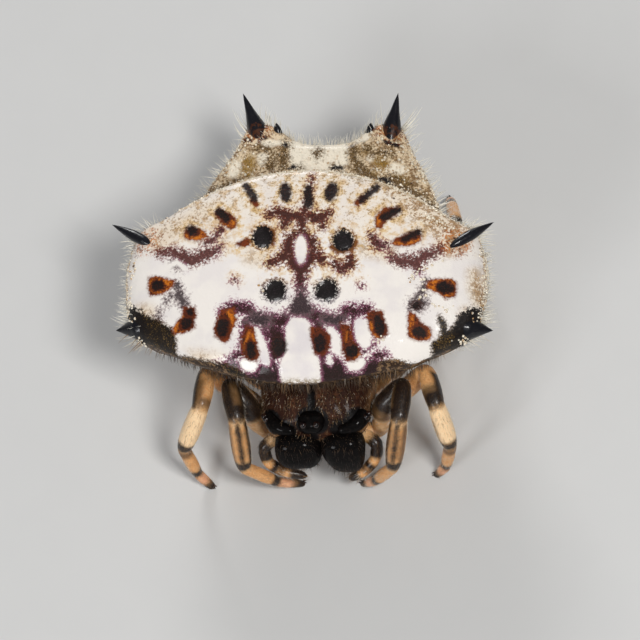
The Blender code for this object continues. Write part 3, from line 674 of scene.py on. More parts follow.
@dataclass
class Loft:
    """A closed skin of rings: its points, how they spread over it, and its poles.

    `grid` holds the points as rings by columns by 3 in millimetres, `place` and `angle`
    the body coordinates of each, and `poles` the two end points.
    """

    grid: Array
    place: Array
    angle: Array
    poles: Array
    normals: Array = field(init=False)

    def __post_init__(self) -> None:
        """Work out the outward normals."""
        along = np.gradient(self.grid, axis=0)
        wrapped = np.concatenate((self.grid[:, -1:], self.grid, self.grid[:, :1]), axis=1)
        around = (wrapped[:, 2:] - wrapped[:, :-2]) * 0.5
        normals = unit(np.cross(along, around))
        centre = self.grid.mean(axis=1, keepdims=True)
        if (normals * (self.grid - centre)).sum() < 0.0:
            normals = -normals
        self.normals = normals

    def push(self, distance: Array | float) -> None:
        """Move the skin outwards by a distance in millimetres."""
        self.grid = self.grid + self.normals * np.asarray(distance)[..., None]

    def unwrap(self) -> Array:
        """Return the skin's own flat map: across its columns, up its rings, and 0."""
        rings, columns = self.grid.shape[:2]
        u = (np.arange(columns) + 0.5) / columns
        v = (np.arange(rings) + 0.5) / rings
        return np.stack(np.broadcast_arrays(u[None, :], v[:, None], np.zeros((1, 1))), axis=-1)

    def flat(self, values: Array) -> Array:
        """Return values on the grid as a list for the mesh, with the poles last."""
        values = np.broadcast_to(values, self.grid.shape[:2] + np.shape(values)[2:])
        ends = np.stack((values[0].mean(axis=0), values[-1].mean(axis=0)))
        return np.concatenate((values.reshape((-1,) + values.shape[2:]), ends))

    def piece(self, name: str, finish: Material, fields: dict[str, Array]) -> Thing:
        """Make the skin a mesh object.

        Args:
            name: the piece's name.
            finish: its material.
            fields: values on the grid to store as attributes.

        Returns:
            The new object.
        """
        points = np.concatenate((self.grid.reshape(-1, 3), self.poles))
        rings, columns = self.grid.shape[:2]
        item = make_piece(name, to_frame(points), closed_faces(rings, columns), finish)
        for word, values in fields.items():
            paint(item, word, self.flat(values))
        return item


def even_places(sample: Callable[[Array], Array], low: float, high: float, count: int) -> Array:
    """Return parameters that divide a curve into steps of the same length.

    Args:
        sample: gives points for parameters.
        low: the first parameter.
        high: the last parameter.
        count: how many parameters.

    Returns:
        The parameters, from low to high.
    """
    fine = np.linspace(low, high, 4001)
    lengths = np.linalg.norm(np.diff(sample(fine), axis=0), axis=-1)
    total = np.concatenate(((0.0,), np.cumsum(lengths)))
    return np.interp(np.linspace(0.0, total[-1], count), total, fine)


BOW_START = 1.22


@dataclass
class Limb:
    """A round limb along joints, with corners that bend over a short way.

    `knots` are places counted in segments with the radius there, in millimetres,
    `bends` the reach of each inner joint's bend, and `bow` how far the middle of the
    second segment moves aside.
    """

    joints: Sequence[Sequence[float]]
    knots: Sequence[tuple[float, float]]
    bends: Sequence[float]
    sides: int = 28
    pace: float = 0.028
    sole: bool = False
    outward: Side = Side.RIGHT
    bow: Point = (0.0, 0.0, 0.0)
    centres: Array = field(init=False)
    ways: Array = field(init=False)
    places: Array = field(init=False)

    def __post_init__(self) -> None:
        """Walk along the joints and bend each corner."""
        joints = [np.array(joint, dtype=float) for joint in self.joints]
        lengths = [float(np.linalg.norm(b - a)) for a, b in zip(joints, joints[1:])]
        reach = [0.0, *self.bends, 0.0]
        centres, places = [], []
        for i, (start, end, length) in enumerate(zip(joints, joints[1:], lengths)):
            near, far = reach[i] / length, 1.0 - reach[i + 1] / length
            count = max(2, int((far - near) * length / self.pace))
            shares = np.linspace(near, far, count, endpoint=False)
            centres.append(start + (end - start) * shares[:, None])
            places.append(i + shares)
            if i + 2 < len(joints):
                after = joints[i + 2]
                onward = reach[i + 1] / lengths[i + 1]
                leave = start + (end - start) * far
                enter = end + (after - end) * onward
                steps = max(4, int(2.0 * reach[i + 1] / self.pace))
                t = np.linspace(0.0, 1.0, steps, endpoint=False)[:, None]
                centres.append((1 - t) ** 2 * leave + 2 * t * (1 - t) * end + t * t * enter)
                places.append((i + far) + (onward + 1.0 - far) * t[:, 0])
        centres.append(joints[-1][None])
        places.append(np.array((len(joints) - 1.0,)))
        self.centres = np.concatenate(centres)
        self.places = np.concatenate(places)
        arch = np.sin(math.pi * np.clip((self.places - BOW_START) / (2.0 - BOW_START), 0.0, 1.0)) ** 2
        self.centres = self.centres + arch[:, None] * np.array(self.bow)
        ways = unit(np.gradient(self.centres, axis=0))
        if self.sole:
            down = step(len(joints) - 1.5, len(joints) - 1.02, self.places)[:, None]
            ways = unit(ways * (1.0 - down) + np.array((0.0, 0.0, -1.0)) * down)
        self.ways = ways

    def loft(self) -> Loft:
        """Return the limb's skin, with angle 0 to the viewer and 90 degrees outward."""
        up = unit(CHART_LOOK - self.ways * (self.ways @ CHART_LOOK)[:, None])
        across = np.cross(self.ways, up)
        out = np.array((self.outward.value, 0.0, 0.0))
        flip = np.where((across @ out) < 0.0, -1.0, 1.0)
        flip = np.full_like(flip, np.sign(flip.sum() + 0.5))
        across = across * flip[:, None]
        angles = np.arange(self.sides) * math.tau / self.sides - math.pi
        radii = Track(*zip(*self.knots)).value(self.places)
        spokes = across[:, None] * np.sin(angles)[None, :, None] + up[:, None] * np.cos(angles)[None, :, None]
        grid = self.centres[:, None] + spokes * radii[:, None, None]
        place = np.broadcast_to(self.places[:, None], grid.shape[:2])
        angle = np.broadcast_to(angles[None, :], grid.shape[:2])
        poles = np.stack((self.centres[0], self.centres[-1]))
        return Loft(grid, place, angle, poles)


# Shader maths


class Value:
    """A shader socket that Python's operators work on, each adding a Math node."""

    def __init__(self, tree: bpy.types.NodeTree, socket: Socket) -> None:
        """Keep the tree and the socket."""
        self.tree = tree
        self.socket = socket

    def maths(self, operation: str, *others: "Value | float", first: bool = True) -> "Value":
        """Return a Math node of this value and others.

        Args:
            operation: the node's operation.
            others: further sockets or numbers.
            first: whether this value goes before the others.

        Returns:
            The node's result.
        """
        node = self.tree.nodes.new("ShaderNodeMath")
        node.operation = operation
        inputs = (self, *others) if first else (*others, self)
        for socket, source in zip(node.inputs, inputs):
            if isinstance(source, Value):
                self.tree.links.new(source.socket, socket)
            else:
                socket.default_value = source
        return Value(self.tree, node.outputs[0])

    def __add__(self, other: "Value | float") -> "Value":
        """Return the sum."""
        return self.maths("ADD", other)

    __radd__ = __add__

    def __mul__(self, other: "Value | float") -> "Value":
        """Return the product."""
        return self.maths("MULTIPLY", other)

    __rmul__ = __mul__

    def __sub__(self, other: "Value | float") -> "Value":
        """Return the difference."""
        return self.maths("SUBTRACT", other)

    def __rsub__(self, other: float) -> "Value":
        """Return the difference from a number."""
        return self.maths("SUBTRACT", other, first=False)

    def most(self, other: "Value | float") -> "Value":
        """Return the larger of two."""
        return self.maths("MAXIMUM", other)

    def rise(self, low: float, high: float) -> "Value":
        """Return a smooth rise from 0 at low to 1 at high."""
        node = self.tree.nodes.new("ShaderNodeMapRange")
        node.interpolation_type = "SMOOTHSTEP"
        self.tree.links.new(self.socket, node.inputs["Value"])
        if low <= high:
            limits = (low, high, 0.0, 1.0)
        else:
            limits = (high, low, 1.0, 0.0)
        for word, limit in zip(("From Min", "From Max", "To Min", "To Max"), limits):
            node.inputs[word].default_value = limit
        return Value(self.tree, node.outputs["Result"])


Colour = Point
Paint = Value | Colour


class Shader:
    """A material under construction, with its Principled shader."""

    def __init__(self, name: str) -> None:
        """Make an empty material of a name."""
        self.material = bpy.data.materials.new(name)
        self.material.use_nodes = True
        self.tree = self.material.node_tree
        self.surface = self.tree.nodes["Principled BSDF"]
        place = self.node("ShaderNodeTexCoord", {}, {}, "Object")
        self.place = self.node("ShaderNodeVectorMath", {"operation": "SCALE"},
                               {"Vector": place, "Scale": 1.0 / MM})

    def node(self, kind: str, settings: dict, inputs: dict, output: str | int = 0) -> Value:
        """Add a node and return one of its outputs.

        Args:
            kind: the node's type.
            settings: its properties, set first.
            inputs: numbers or sockets by input name or number.
            output: the wanted output's name or number.

        Returns:
            The output.
        """
        node = self.tree.nodes.new(kind)
        for word, setting in settings.items():
            setattr(node, word, setting)
        for word, source in inputs.items():
            if isinstance(source, Value):
                self.tree.links.new(source.socket, node.inputs[word])
            elif isinstance(source, tuple) and len(source) == 3 and node.inputs[word].type == "RGBA":
                node.inputs[word].default_value = (*source, 1.0)
            else:
                node.inputs[word].default_value = source
        return Value(self.tree, node.outputs[output])

    def stored(self, name: str) -> Value:
        """Return a number that the mesh stores under a name."""
        return self.node("ShaderNodeAttribute", {"attribute_name": name}, {}, "Fac")

    def noise(self, size: float, detail: float = 3.0, rough: float = 0.55, shift: float = 0.0) -> Value:
        """Return noise from 0 to 1 with features of a size in millimetres."""
        moved = self.node("ShaderNodeVectorMath", {"operation": "ADD"},
                          {0: self.place, 1: (shift, shift * 1.7, -shift)})
        inputs = {"Vector": moved, "Scale": 1.0 / size, "Detail": detail, "Roughness": rough}
        return self.node("ShaderNodeTexNoise", {}, inputs, 0)

    def cells(self, size: float) -> Value:
        """Return the distance to cell centres that lie a size apart in millimetres."""
        inputs = {"Vector": self.place, "Scale": 1.0 / size}
        return self.node("ShaderNodeTexVoronoi", {"feature": "F1"}, inputs, "Distance")

    def blend(self, amount: Value | float, under: Paint, over: Paint) -> Value:
        """Return a colour with another laid over it by an amount."""
        settings = {"data_type": "RGBA", "clamp_factor": True}
        return self.node("ShaderNodeMix", settings, {0: amount, 6: under, 7: over}, 2)

    def finish(self, colour: Value, rough: Value, relief: Value, depth: float,
               coat: Value | None = None, **constants: float) -> Material:
        """Connect the surface and return the material.

        Args:
            colour: the base colour.
            rough: the roughness.
            relief: heights from 0 to 1 for the bump.
            depth: how high a bump of 1 stands, in millimetres.
            coat: the weight of the clear coat, where it varies.
            constants: numbers for the shader's own sockets, with _ for a space.

        Returns:
            The material.
        """
        bumps = self.node("ShaderNodeBump", {}, {"Height": relief, "Distance": depth * MM, "Strength": 1.0},
                          "Normal")
        sources = {"Base Color": colour, "Roughness": rough, "Coat Weight": coat, "Normal": bumps}
        for word, source in sources.items():
            if source is not None:
                self.tree.links.new(source.socket, self.surface.inputs[word])
        for word, number in constants.items():
            self.surface.inputs[word.replace("_", " ")].default_value = number
        return self.material


# Finishes


def flecked(s: Shader, low: float, high: float, under: Paint, over: Paint) -> Value:
    """Return a colour with another over it where the skin's finest grain rises from low to high."""
    return s.blend(s.speck.rise(low, high), under, over)


@dataclass(frozen=True)
class EnamelFinish:
    """The abdomen's hard glossy skin, with all its markings."""

    white: Colour = (0.86, 0.81, 0.76)
    lilac: Colour = (0.74, 0.69, 0.69)
    cream: Colour = (0.76, 0.61, 0.42)
    tan: Colour = (0.42, 0.24, 0.10)
    yellow: Colour = (0.70, 0.45, 0.15)
    amber: Colour = (0.56, 0.16, 0.010)
    rust: Colour = (0.17, 0.030, 0.005)
    ember: Colour = (0.045, 0.009, 0.003)
    maroon: Colour = (0.024, 0.0060, 0.0042)
    purple: Colour = (0.30, 0.088, 0.165)
    rose: Colour = (0.24, 0.080, 0.072)
    red: Colour = (0.20, 0.040, 0.020)
    slate: Colour = (0.026, 0.016, 0.019)
    olive: Colour = (0.15, 0.088, 0.022)
    ochre: Colour = (0.34, 0.19, 0.022)
    umber: Colour = (0.10, 0.048, 0.018)
    black: Colour = (0.006, 0.004, 0.004)
    brown: Colour = (0.075, 0.040, 0.022)

    def build(self) -> Material:
        """Return the material."""
        s = Shader("abdomen_enamel")
        s.speck = s.noise(0.032, 3.0, 0.75, 5.0)
        s.grain = s.noise(0.055, 4.0, 0.7)
        s.edge = s.noise(0.14, 4.0, 0.65, 14.0)
        s.mottle = s.noise(0.24, 4.0, 0.6, 9.0)
        s.cloud = s.noise(0.6, 3.0, 0.5, 2.0)
        s.wobble = (s.edge - 0.5) * 0.26 + (s.grain - 0.5) * 0.22
        s.stipple = (s.edge - 0.5) * 0.34 + (s.grain - 0.5) * 0.56
        base = self.ground(s)
        base = self.bands(s, base)
        base = self.spots(s, base)
        base = s.blend(s.stored("lobe"), base, self.lobe(s))
        base = self.below(s, base)
        scorched = s.stored("scorched") + s.stipple * 1.4
        scorch = s.blend(s.edge.rise(0.42, 0.58), self.amber, self.rust)
        base = s.blend(scorched.rise(-0.12, 0.10) * s.grain.rise(0.42, 0.58) * 0.8, base, scorch)
        burnt = s.stored("burnt") + s.stipple * 0.9
        base = s.blend(burnt.rise(-0.03, 0.05), base, flecked(s, 0.5, 0.7, self.black, (0.02, 0.010, 0.005)))
        return self.surface(s, base)

    def ground(self, s: Shader) -> Value:
        """Return the white ground, warmer and speckled towards the rear and the rim."""
        rear, tan, crest = s.stored("rear"), s.stored("tan"), s.stored("crest")
        base = s.blend(s.cloud.rise(0.42, 0.66) * 0.5, self.white, self.lilac)
        near = tan.rise(-0.26, 0.12)
        warm = (rear * s.mottle.rise(0.44, 0.64) * 0.8).most(rear * 0.25).most(near * 0.6)
        base = s.blend(warm, base, self.cream)
        base = s.blend(rear * s.mottle.rise(0.55, 0.66) * 0.6, base, (0.62, 0.40, 0.20))
        marks = s.stored("core").most(s.stored("pit")).most(s.stored("maroon")).most(s.stored("orange"))
        fringe = (marks + s.stipple * 0.8).rise(-0.28, -0.03) * (rear + s.stored("red")).rise(0.0, 1.0)
        base = s.blend(fringe * s.edge.rise(0.40, 0.58) * 0.8, base, self.yellow)
        freckles = s.edge * 0.6 + s.mottle * 0.4 + (s.grain - 0.5) * 1.1 + (rear - 1.0) * 0.25
        base = s.blend(freckles.rise(0.55, 0.64) * rear * 0.60, base,
                       flecked(s, 0.4, 0.6, self.tan, self.umber))
        right = s.stored("right")
        brown = (s.mottle + (s.grain - 0.5) * 1.0 + near * 0.06 + right * 0.05).rise(0.52, 0.64)
        base = s.blend(near * brown * (0.55 + right * 0.30), base,
                       flecked(s, 0.45, 0.65, self.tan, self.umber))
        golden = crest * (s.edge + (s.grain - 0.5) * 1.1 + crest * 0.14).rise(0.50, 0.62)
        base = s.blend(golden * 0.9, base, flecked(s, 0.42, 0.62, (0.34, 0.20, 0.055), self.umber))
        line = s.stored("line") * (s.grain * 0.6 + s.speck * 0.4).rise(0.38, 0.54)
        base = s.blend(line * 0.9, base, (0.88, 0.78, 0.58))
        margin = s.stored("margin")
        rust = (s.edge + (s.grain - 0.5) * 1.0 + margin * 0.12).rise(0.52, 0.64)
        return s.blend(margin * rust * 0.85, base, flecked(s, 0.42, 0.62, self.tan, self.umber))

    def bands(self, s: Shader, base: Value) -> Value:
        """Return the colour with the maroon bands, grey smudges and dark corners."""
        rear, red = s.stored("rear"), s.stored("red")
        rim = s.blend(red.most(rear), self.purple, self.red)
        rim = s.blend(s.stored("side_band"), rim, self.rose)
        maroon = s.stored("maroon") + s.stipple * 0.85
        base = s.blend(maroon.rise(-0.15, -0.03) * s.grain.rise(0.40, 0.56) * 0.8, base, rim)
        base = s.blend(maroon.rise(-0.07, 0.02), base, flecked(s, 0.46, 0.56, rim, self.maroon))
        dense = s.blend(red, self.maroon, (0.052, 0.013, 0.008))
        dense = s.blend(s.stored("side_band"), dense, (0.100, 0.034, 0.030))
        dense = s.blend(s.stored("low_band"), dense, (0.016, 0.0060, 0.0042))
        rim = s.blend(s.stored("low_band") * 0.6, rim, (0.13, 0.035, 0.055))
        deep = s.blend(s.speck.rise(0.54, 0.70) * 0.4, dense, rim)
        base = s.blend(maroon.rise(0.0, 0.10), base, deep)
        grey = s.stored("grey") + s.stipple
        base = s.blend(grey.rise(-0.14, 0.0) * 0.6, base, (0.22, 0.14, 0.15))
        base = s.blend(grey.rise(-0.05, 0.07) * 0.9, base,
                       flecked(s, 0.50, 0.68, self.slate, (0.10, 0.058, 0.060)))
        dark = s.stored("dark") + s.stipple * 0.55
        olive = (s.mottle * 0.6 + s.edge * 0.4 + (s.speck - 0.5) * 1.5).rise(0.60, 0.72)
        mire = s.blend(olive, (0.010, 0.006, 0.004), self.olive)
        base = s.blend(dark.rise(-0.09, -0.01) * 0.7, base, self.umber)
        base = s.blend(dark.rise(-0.035, 0.02), base, mire)
        hem = s.stored("tongue_end") * (s.edge * 0.6 + (s.grain - 0.5) * 0.9).rise(0.20, 0.36)
        pale = s.stored("white") + s.stipple * 0.42
        base = s.blend(pale.rise(-0.09, -0.02) * 0.5 * maroon.rise(-0.04, 0.0), base, self.purple)
        white = s.blend(s.cloud.rise(0.4, 0.7), self.white, self.lilac)
        white = s.blend(hem * 0.85, white, flecked(s, 0.40, 0.60, (0.42, 0.33, 0.20), (0.20, 0.135, 0.055)))
        return s.blend(pale.rise(-0.03, 0.025), base, white)

    def spots(self, s: Shader, base: Value) -> Value:
        """Return the colour with the orange discs, their dark middles and the pits."""
        orange = s.stored("orange") + s.wobble * 0.6
        core = s.stored("core") + s.wobble * 0.7
        glow = s.stored("glow") + s.wobble * 0.7
        disc = s.blend((s.edge + (s.grain - 0.5) * 0.8).rise(0.42, 0.60), self.ember, self.rust)
        bright = s.blend((s.edge * 0.5 + s.grain * 0.5).rise(0.44, 0.58), self.amber, self.rust)
        disc = s.blend(glow.rise(-0.045, 0.015), disc, bright)
        disc = s.blend(orange.rise(0.035, 0.0) * 0.5, disc, self.rust)
        disc = s.blend(core.rise(-0.09, -0.02) * 0.85, disc, self.rust)
        base = s.blend(orange.rise(-0.075, -0.005) * 0.5, base, self.rust)
        base = s.blend(orange.rise(-0.022, 0.018), base, disc)
        base = s.blend(core.rise(-0.085, -0.02) * 0.6, base, self.ember)
        base = s.blend(core.rise(-0.035, 0.018), base, flecked(s, 0.46, 0.68, self.black, self.ember))
        pit = s.stored("pit") + s.stipple * 0.55
        soot = s.blend(s.stored("red"), (0.085, 0.050, 0.070), (0.22, 0.085, 0.015))
        base = s.blend(pit.rise(-0.12, -0.02) * s.grain.rise(0.38, 0.56) * 0.9, base, soot)
        return s.blend(pit.rise(-0.035, 0.02), base,
                       flecked(s, 0.54, 0.68, self.black, (0.035, 0.022, 0.028)))

    def lobe(self, s: Shader) -> Value:
        """Return the colour of the low lobe behind the ridge, with painted shade in the groove at the ridge's
        foot and a painted highlight along its rear rim.
        """
        fine = (s.grain - 0.5) * 0.8
        shell = s.blend((s.mottle + fine * 0.4).rise(0.40, 0.60), self.cream, (0.50, 0.35, 0.20))
        brown = (s.edge * 0.5 + s.mottle * 0.5 + fine + s.stored("lobe_edge") * 0.05).rise(0.48, 0.62)
        shell = s.blend(brown * 0.85, shell, flecked(s, 0.42, 0.60, (0.26, 0.15, 0.06), self.umber))
        # The lobe's white, with a painted highlight along its rear rim.
        white = s.stored("lobe_white_and_rim_highlight") + s.stipple * 0.45
        ivory = s.blend((s.edge + fine * 0.3).rise(0.54, 0.70), (0.90, 0.82, 0.68), (0.66, 0.50, 0.34))
        shell = s.blend(white.rise(-0.06, 0.03), shell, ivory)
        ochre = s.stored("lobe_olive") + s.stipple * 0.8
        shell = s.blend(ochre.rise(-0.14, 0.10) * 0.8, shell, flecked(s, 0.44, 0.6, self.ochre, self.olive))
        # The lobe's dark patches, with painted shade in the groove at the ridge's foot.
        dark = s.stored("lobe_dark") + s.stipple * 0.85
        mire = flecked(s, 0.44, 0.60, (0.055, 0.030, 0.010), (0.19, 0.11, 0.035))
        shell = s.blend(dark.rise(-0.16, 0.04) * s.grain.rise(0.34, 0.54) * 0.8, shell, (0.15, 0.09, 0.03))
        shell = s.blend(dark.rise(-0.04, 0.08) * 0.92, shell, mire)
        # Black over the lobe: painted shade in the groove at the ridge's foot, and black marks round the
        # spines' feet.
        return s.blend((s.stored("lobe_black_and_groove_shade") + s.stipple * 0.3).rise(-0.03, 0.02), shell,
                       (0.012, 0.007, 0.006))

    def below(self, s: Shader, base: Value) -> Value:
        """Return the colour with the front face and the underside."""
        front = s.blend((s.edge + (s.grain - 0.5) * 1.0).rise(0.50, 0.62), (0.03, 0.016, 0.009),
                        (0.20, 0.12, 0.06))
        lip = (s.stored("lip") + s.stipple * 1.2).rise(0.38, 0.62)
        brow = (s.stored("front") + s.stipple * 0.6).rise(-0.04, 0.04)
        base = s.blend(s.stored("face").most(lip).most(brow), base, front)
        under = s.blend((s.mottle + (s.grain - 0.5) * 0.6).rise(0.46, 0.62) * 0.8, self.brown,
                        (0.24, 0.14, 0.065))
        venter = s.stored("venter") + s.wobble * 1.5
        under = s.blend(venter.rise(-0.06, 0.04), under,
                        s.blend(s.edge.rise(0.42, 0.6), self.cream, (0.42, 0.28, 0.14)))
        under = s.blend((s.stored("furrow") + s.wobble * 0.3).rise(-0.05, 0.02), under, self.black)
        return s.blend(s.stored("belly"), base, under)

    def surface(self, s: Shader, base: Value) -> Material:
        """Return the material with its gloss and its fine relief."""
        belly, rear, lobe = s.stored("belly"), s.stored("rear"), s.stored("lobe")
        soft = (belly + s.stored("face") + lobe * 0.7 + rear * 0.35 + s.stored("margin")).rise(0.0, 1.0)
        spots = s.stored("core").rise(-0.02, 0.03)
        pits = s.stored("pit").rise(-0.04, 0.02)
        discs = s.stored("orange").rise(-0.06, 0.0)
        rough = 0.36 + soft * 0.20 + (s.grain - 0.5) * 0.30 + pits * 0.20 + discs * 0.26
        black = s.stored("dark").most(s.stored("maroon")).rise(-0.02, 0.06)
        coat = 0.36 - soft * 0.20 - discs.most(spots) * 0.36 - pits * 0.16 - black * 0.16
        granules = s.cells(0.085).rise(0.60, 0.05)
        dark = (s.stored("maroon") + s.stipple).rise(-0.03, 0.05)
        swell = (s.noise(0.30, 2.0) - 0.5) * 1.2
        relief = (s.grain - 0.5) * 0.7 + granules * (soft + dark * 0.25) * 0.9 + swell
        relief = relief + dark * (s.speck - 0.5) * 1.0
        return s.finish(base, rough, relief, 0.018, coat=coat, Coat_Roughness=0.09, Specular_IOR_Level=0.18)


@dataclass(frozen=True)
class SpineFinish:
    """The spines: glossy blue-black horn, browner at the foot."""

    horn: Colour = (0.006, 0.006, 0.009)
    foot: Colour = (0.075, 0.022, 0.006)

    def build(self) -> Material:
        """Return the material."""
        s = Shader("spine_horn")
        grain = s.noise(0.05, 3.0, 0.6)
        foot = s.stored("foot") + (s.noise(0.12, 4.0, 0.6) - 0.5) * 2.4 + (grain - 0.5) * 1.2
        foot = foot.rise(0.80, 1.1)
        colour = s.blend(foot * 0.85, s.blend(grain.rise(0.5, 0.75), self.horn, (0.016, 0.014, 0.016)),
                         self.foot)
        rough = 0.24 + grain * 0.14 + foot * 0.15
        relief = s.noise(0.03, 3.0, 0.6, 4.0) * 0.5 + s.cells(0.07) * 0.5
        return s.finish(colour, rough, relief, 0.008, Coat_Weight=0.35, Coat_Roughness=0.08,
                        Specular_IOR_Level=0.2)


@dataclass(frozen=True)
class BeadFinish:
    """The granules along the ridge and the margins, like tiny beads of enamel, and the pale beads laid where
    the light glints, which are painted highlights.
    """

    pale: Colour = (0.82, 0.74, 0.60)
    amber: Colour = (0.42, 0.24, 0.09)

    def build(self) -> Material:
        """Return the material."""
        s = Shader("rim_beads")
        tone = s.noise(0.10, 2.0, 0.5, 7.0)
        colour = s.blend(tone.rise(0.50, 0.66), self.pale, self.amber)
        colour = s.blend(s.noise(0.2, 2.0, 0.5, 12.0).rise(0.60, 0.72), colour, (0.10, 0.05, 0.025))
        rough = 0.16 + tone * 0.15
        return s.finish(colour, rough, s.noise(0.02, 2.0), 0.004, Coat_Weight=0.5, Coat_Roughness=0.06)


@dataclass(frozen=True)
class CarapaceFinish:
    """Head and chest: dark reddish brown, with a black glossy line along the middle and black painted shade
    round the eye tubercle and mounds.
    """

    brown: Colour = (0.026, 0.008, 0.004)
    light: Colour = (0.085, 0.032, 0.014)
    black: Colour = (0.004, 0.003, 0.003)

    def build(self) -> Material:
        """Return the material."""
        s = Shader("carapace")
        grain = s.noise(0.05, 4.0, 0.65)
        mottle = s.noise(0.3, 3.0, 0.6, 3.0)
        colour = s.blend((mottle + (grain - 0.5) * 0.8).rise(0.45, 0.75), self.brown, self.light)
        colour = s.blend(s.stored("edge") * mottle.rise(0.3, 0.6), colour, (0.30, 0.16, 0.07))
        # Black along the middle line and round the eyes; the black round the eyes is painted shade.
        line = (s.stored("median") + (grain - 0.5) * 0.16).rise(-0.04, 0.04)
        colour = s.blend(line, colour, self.black)
        rough = 0.54 + grain * 0.2 - line * 0.22
        relief = s.cells(0.07).rise(0.6, 0.0) * 0.5 + grain * 0.5
        return s.finish(colour, rough, relief, 0.012, Coat_Weight=0.06, Coat_Roughness=0.10,
                        Specular_IOR_Level=0.12)


@dataclass(frozen=True)
class JawFinish:
    """The jaws: glossy black-brown, with a fine grainy relief."""

    black: Colour = (0.0025, 0.002, 0.002)
    brown: Colour = (0.016, 0.006, 0.003)

    def build(self) -> Material:
        """Return the material."""
        s = Shader("jaw_horn")
        grain = s.noise(0.06, 4.0, 0.6)
        low = (s.stored("low") + (grain - 0.5) * 0.3).rise(0.55, 1.0)
        colour = s.blend(low * 0.8, s.blend(grain.rise(0.5, 0.75), self.black, (0.012, 0.008, 0.007)),
                         self.brown)
        rough = 0.50 + grain * 0.16
        relief = s.noise(0.035, 3.0, 0.6, 6.0) * 0.6 + s.cells(0.09) * 0.4
        return s.finish(colour, rough, relief, 0.020, Coat_Weight=0.12, Coat_Roughness=0.08,
                        Specular_IOR_Level=0.03)


@dataclass(frozen=True)
class LensFinish:
    """The eyes' lenses: smooth, nearly black, with a deep brown depth."""

    deep: Colour = (0.004, 0.003, 0.004)
    glow: Colour = (0.03, 0.012, 0.006)

    def build(self) -> Material:
        """Return the material."""
        s = Shader("eye_lens")
        depth = s.noise(0.08, 2.0, 0.5)
        colour = s.blend(depth.rise(0.4, 0.7), self.deep, self.glow)
        rough = 0.10 + depth * 0.08
        return s.finish(colour, rough, depth, 0.001, Coat_Weight=0.5, Coat_Roughness=0.04,
                        Specular_IOR_Level=0.2)


@dataclass(frozen=True)
class LimbFinish:
    """Legs and feelers: tan to orange skin with dark rings, stripes and blotches."""

    name: str = "limb_skin"
    tan: Colour = (0.74, 0.41, 0.17)
    peach: Colour = (0.90, 0.60, 0.33)
    orange: Colour = (0.56, 0.225, 0.062)
    dark: Colour = (0.013, 0.007, 0.005)
    olive: Colour = (0.065, 0.034, 0.012)

    def build(self) -> Material:
        """Return the material."""
        s = Shader(self.name)
        grain = s.noise(0.04, 4.0, 0.65)
        mottle = s.noise(0.16, 3.0, 0.6, 3.0)
        wobble = (grain - 0.5) * 0.14 + (mottle - 0.5) * 0.12
        colour = s.blend(mottle.rise(0.35, 0.7), self.tan, self.peach)
        colour = s.blend(s.stored("pale"), colour,
                         s.blend(grain.rise(0.3, 0.7), self.peach, (0.95, 0.72, 0.45)))
        colour = s.blend(s.stored("warm") * 0.85, colour,
                         s.blend(grain.rise(0.35, 0.65), self.orange, self.tan))
        rose = s.stored("rose") * grain.rise(0.2, 0.6)
        colour = s.blend(rose * 0.8, colour, (0.62, 0.28, 0.18))
        brown = (s.stored("brown") + wobble * 1.4).rise(-0.10, 0.10)
        earth = s.blend((mottle * 0.5 + grain * 0.5).rise(0.42, 0.60), self.olive, (0.17, 0.08, 0.028))
        colour = s.blend(brown * 0.9, colour, earth)
        dark = s.stored("dark") + wobble
        colour = s.blend(dark.rise(-0.10, 0.0) * 0.5, colour, self.olive)
        dark = dark.rise(-0.045, 0.055)
        colour = s.blend(dark, colour, s.blend(grain.rise(0.5, 0.72), self.dark, self.olive))
        rough = 0.40 + grain * 0.16 - dark * 0.08
        relief = s.cells(0.05).rise(0.6, 0.05) * 0.5 + grain * 0.5
        return s.finish(colour, rough, relief, 0.010, Coat_Weight=0.22, Coat_Roughness=0.14,
                        Specular_IOR_Level=0.3)


@dataclass(frozen=True)
class HairFinish:
    """Hairs, from dark brown to pale by their stored tone."""

    name: str = "hair"
    dark: Colour = (0.020, 0.009, 0.005)
    brown: Colour = (0.26, 0.15, 0.065)
    pale: Colour = (0.88, 0.84, 0.74)
    spread: float = 0.35
    size: float = 0.09

    def build(self) -> Material:
        """Return the material."""
        s = Shader(self.name)
        grain = s.noise(self.size, 2.0, 0.5)
        tone = s.stored("tone") + (grain - 0.5) * self.spread
        colour = s.blend(tone.rise(0.0, 0.5), self.dark, self.brown)
        colour = s.blend(tone.rise(0.45, 1.0), colour, self.pale)
        rough = 0.34 + grain * 0.2
        return s.finish(colour, rough, grain, 0.002)


@dataclass(frozen=True)
class HornFinish:
    """Claws and fangs: dark brown, mottled with a paler brown."""

    name: str = "claw_horn"
    dark: Colour = (0.012, 0.007, 0.005)
    brown: Colour = (0.07, 0.025, 0.01)

    def build(self) -> Material:
        """Return the material."""
        s = Shader(self.name)
        grain = s.noise(0.05, 3.0, 0.6)
        colour = s.blend(grain.rise(0.4, 0.7), self.dark, self.brown)
        return s.finish(colour, 0.2 + grain * 0.15, grain, 0.004, Coat_Weight=0.4, Coat_Roughness=0.1)


@dataclass(frozen=True)
class FloorFinish:
    """The plain pale floor."""

    pale: Colour = (0.60, 0.60, 0.595)

    def build(self) -> Material:
        """Return the material."""
        s = Shader("floor_paper")
        grain = s.noise(1.2, 3.0, 0.5)
        colour = s.blend(grain.rise(0.3, 0.8) * 0.25, self.pale, (0.57, 0.57, 0.568))
        return s.finish(colour, 0.6 + grain * 0.1, grain, 0.002)


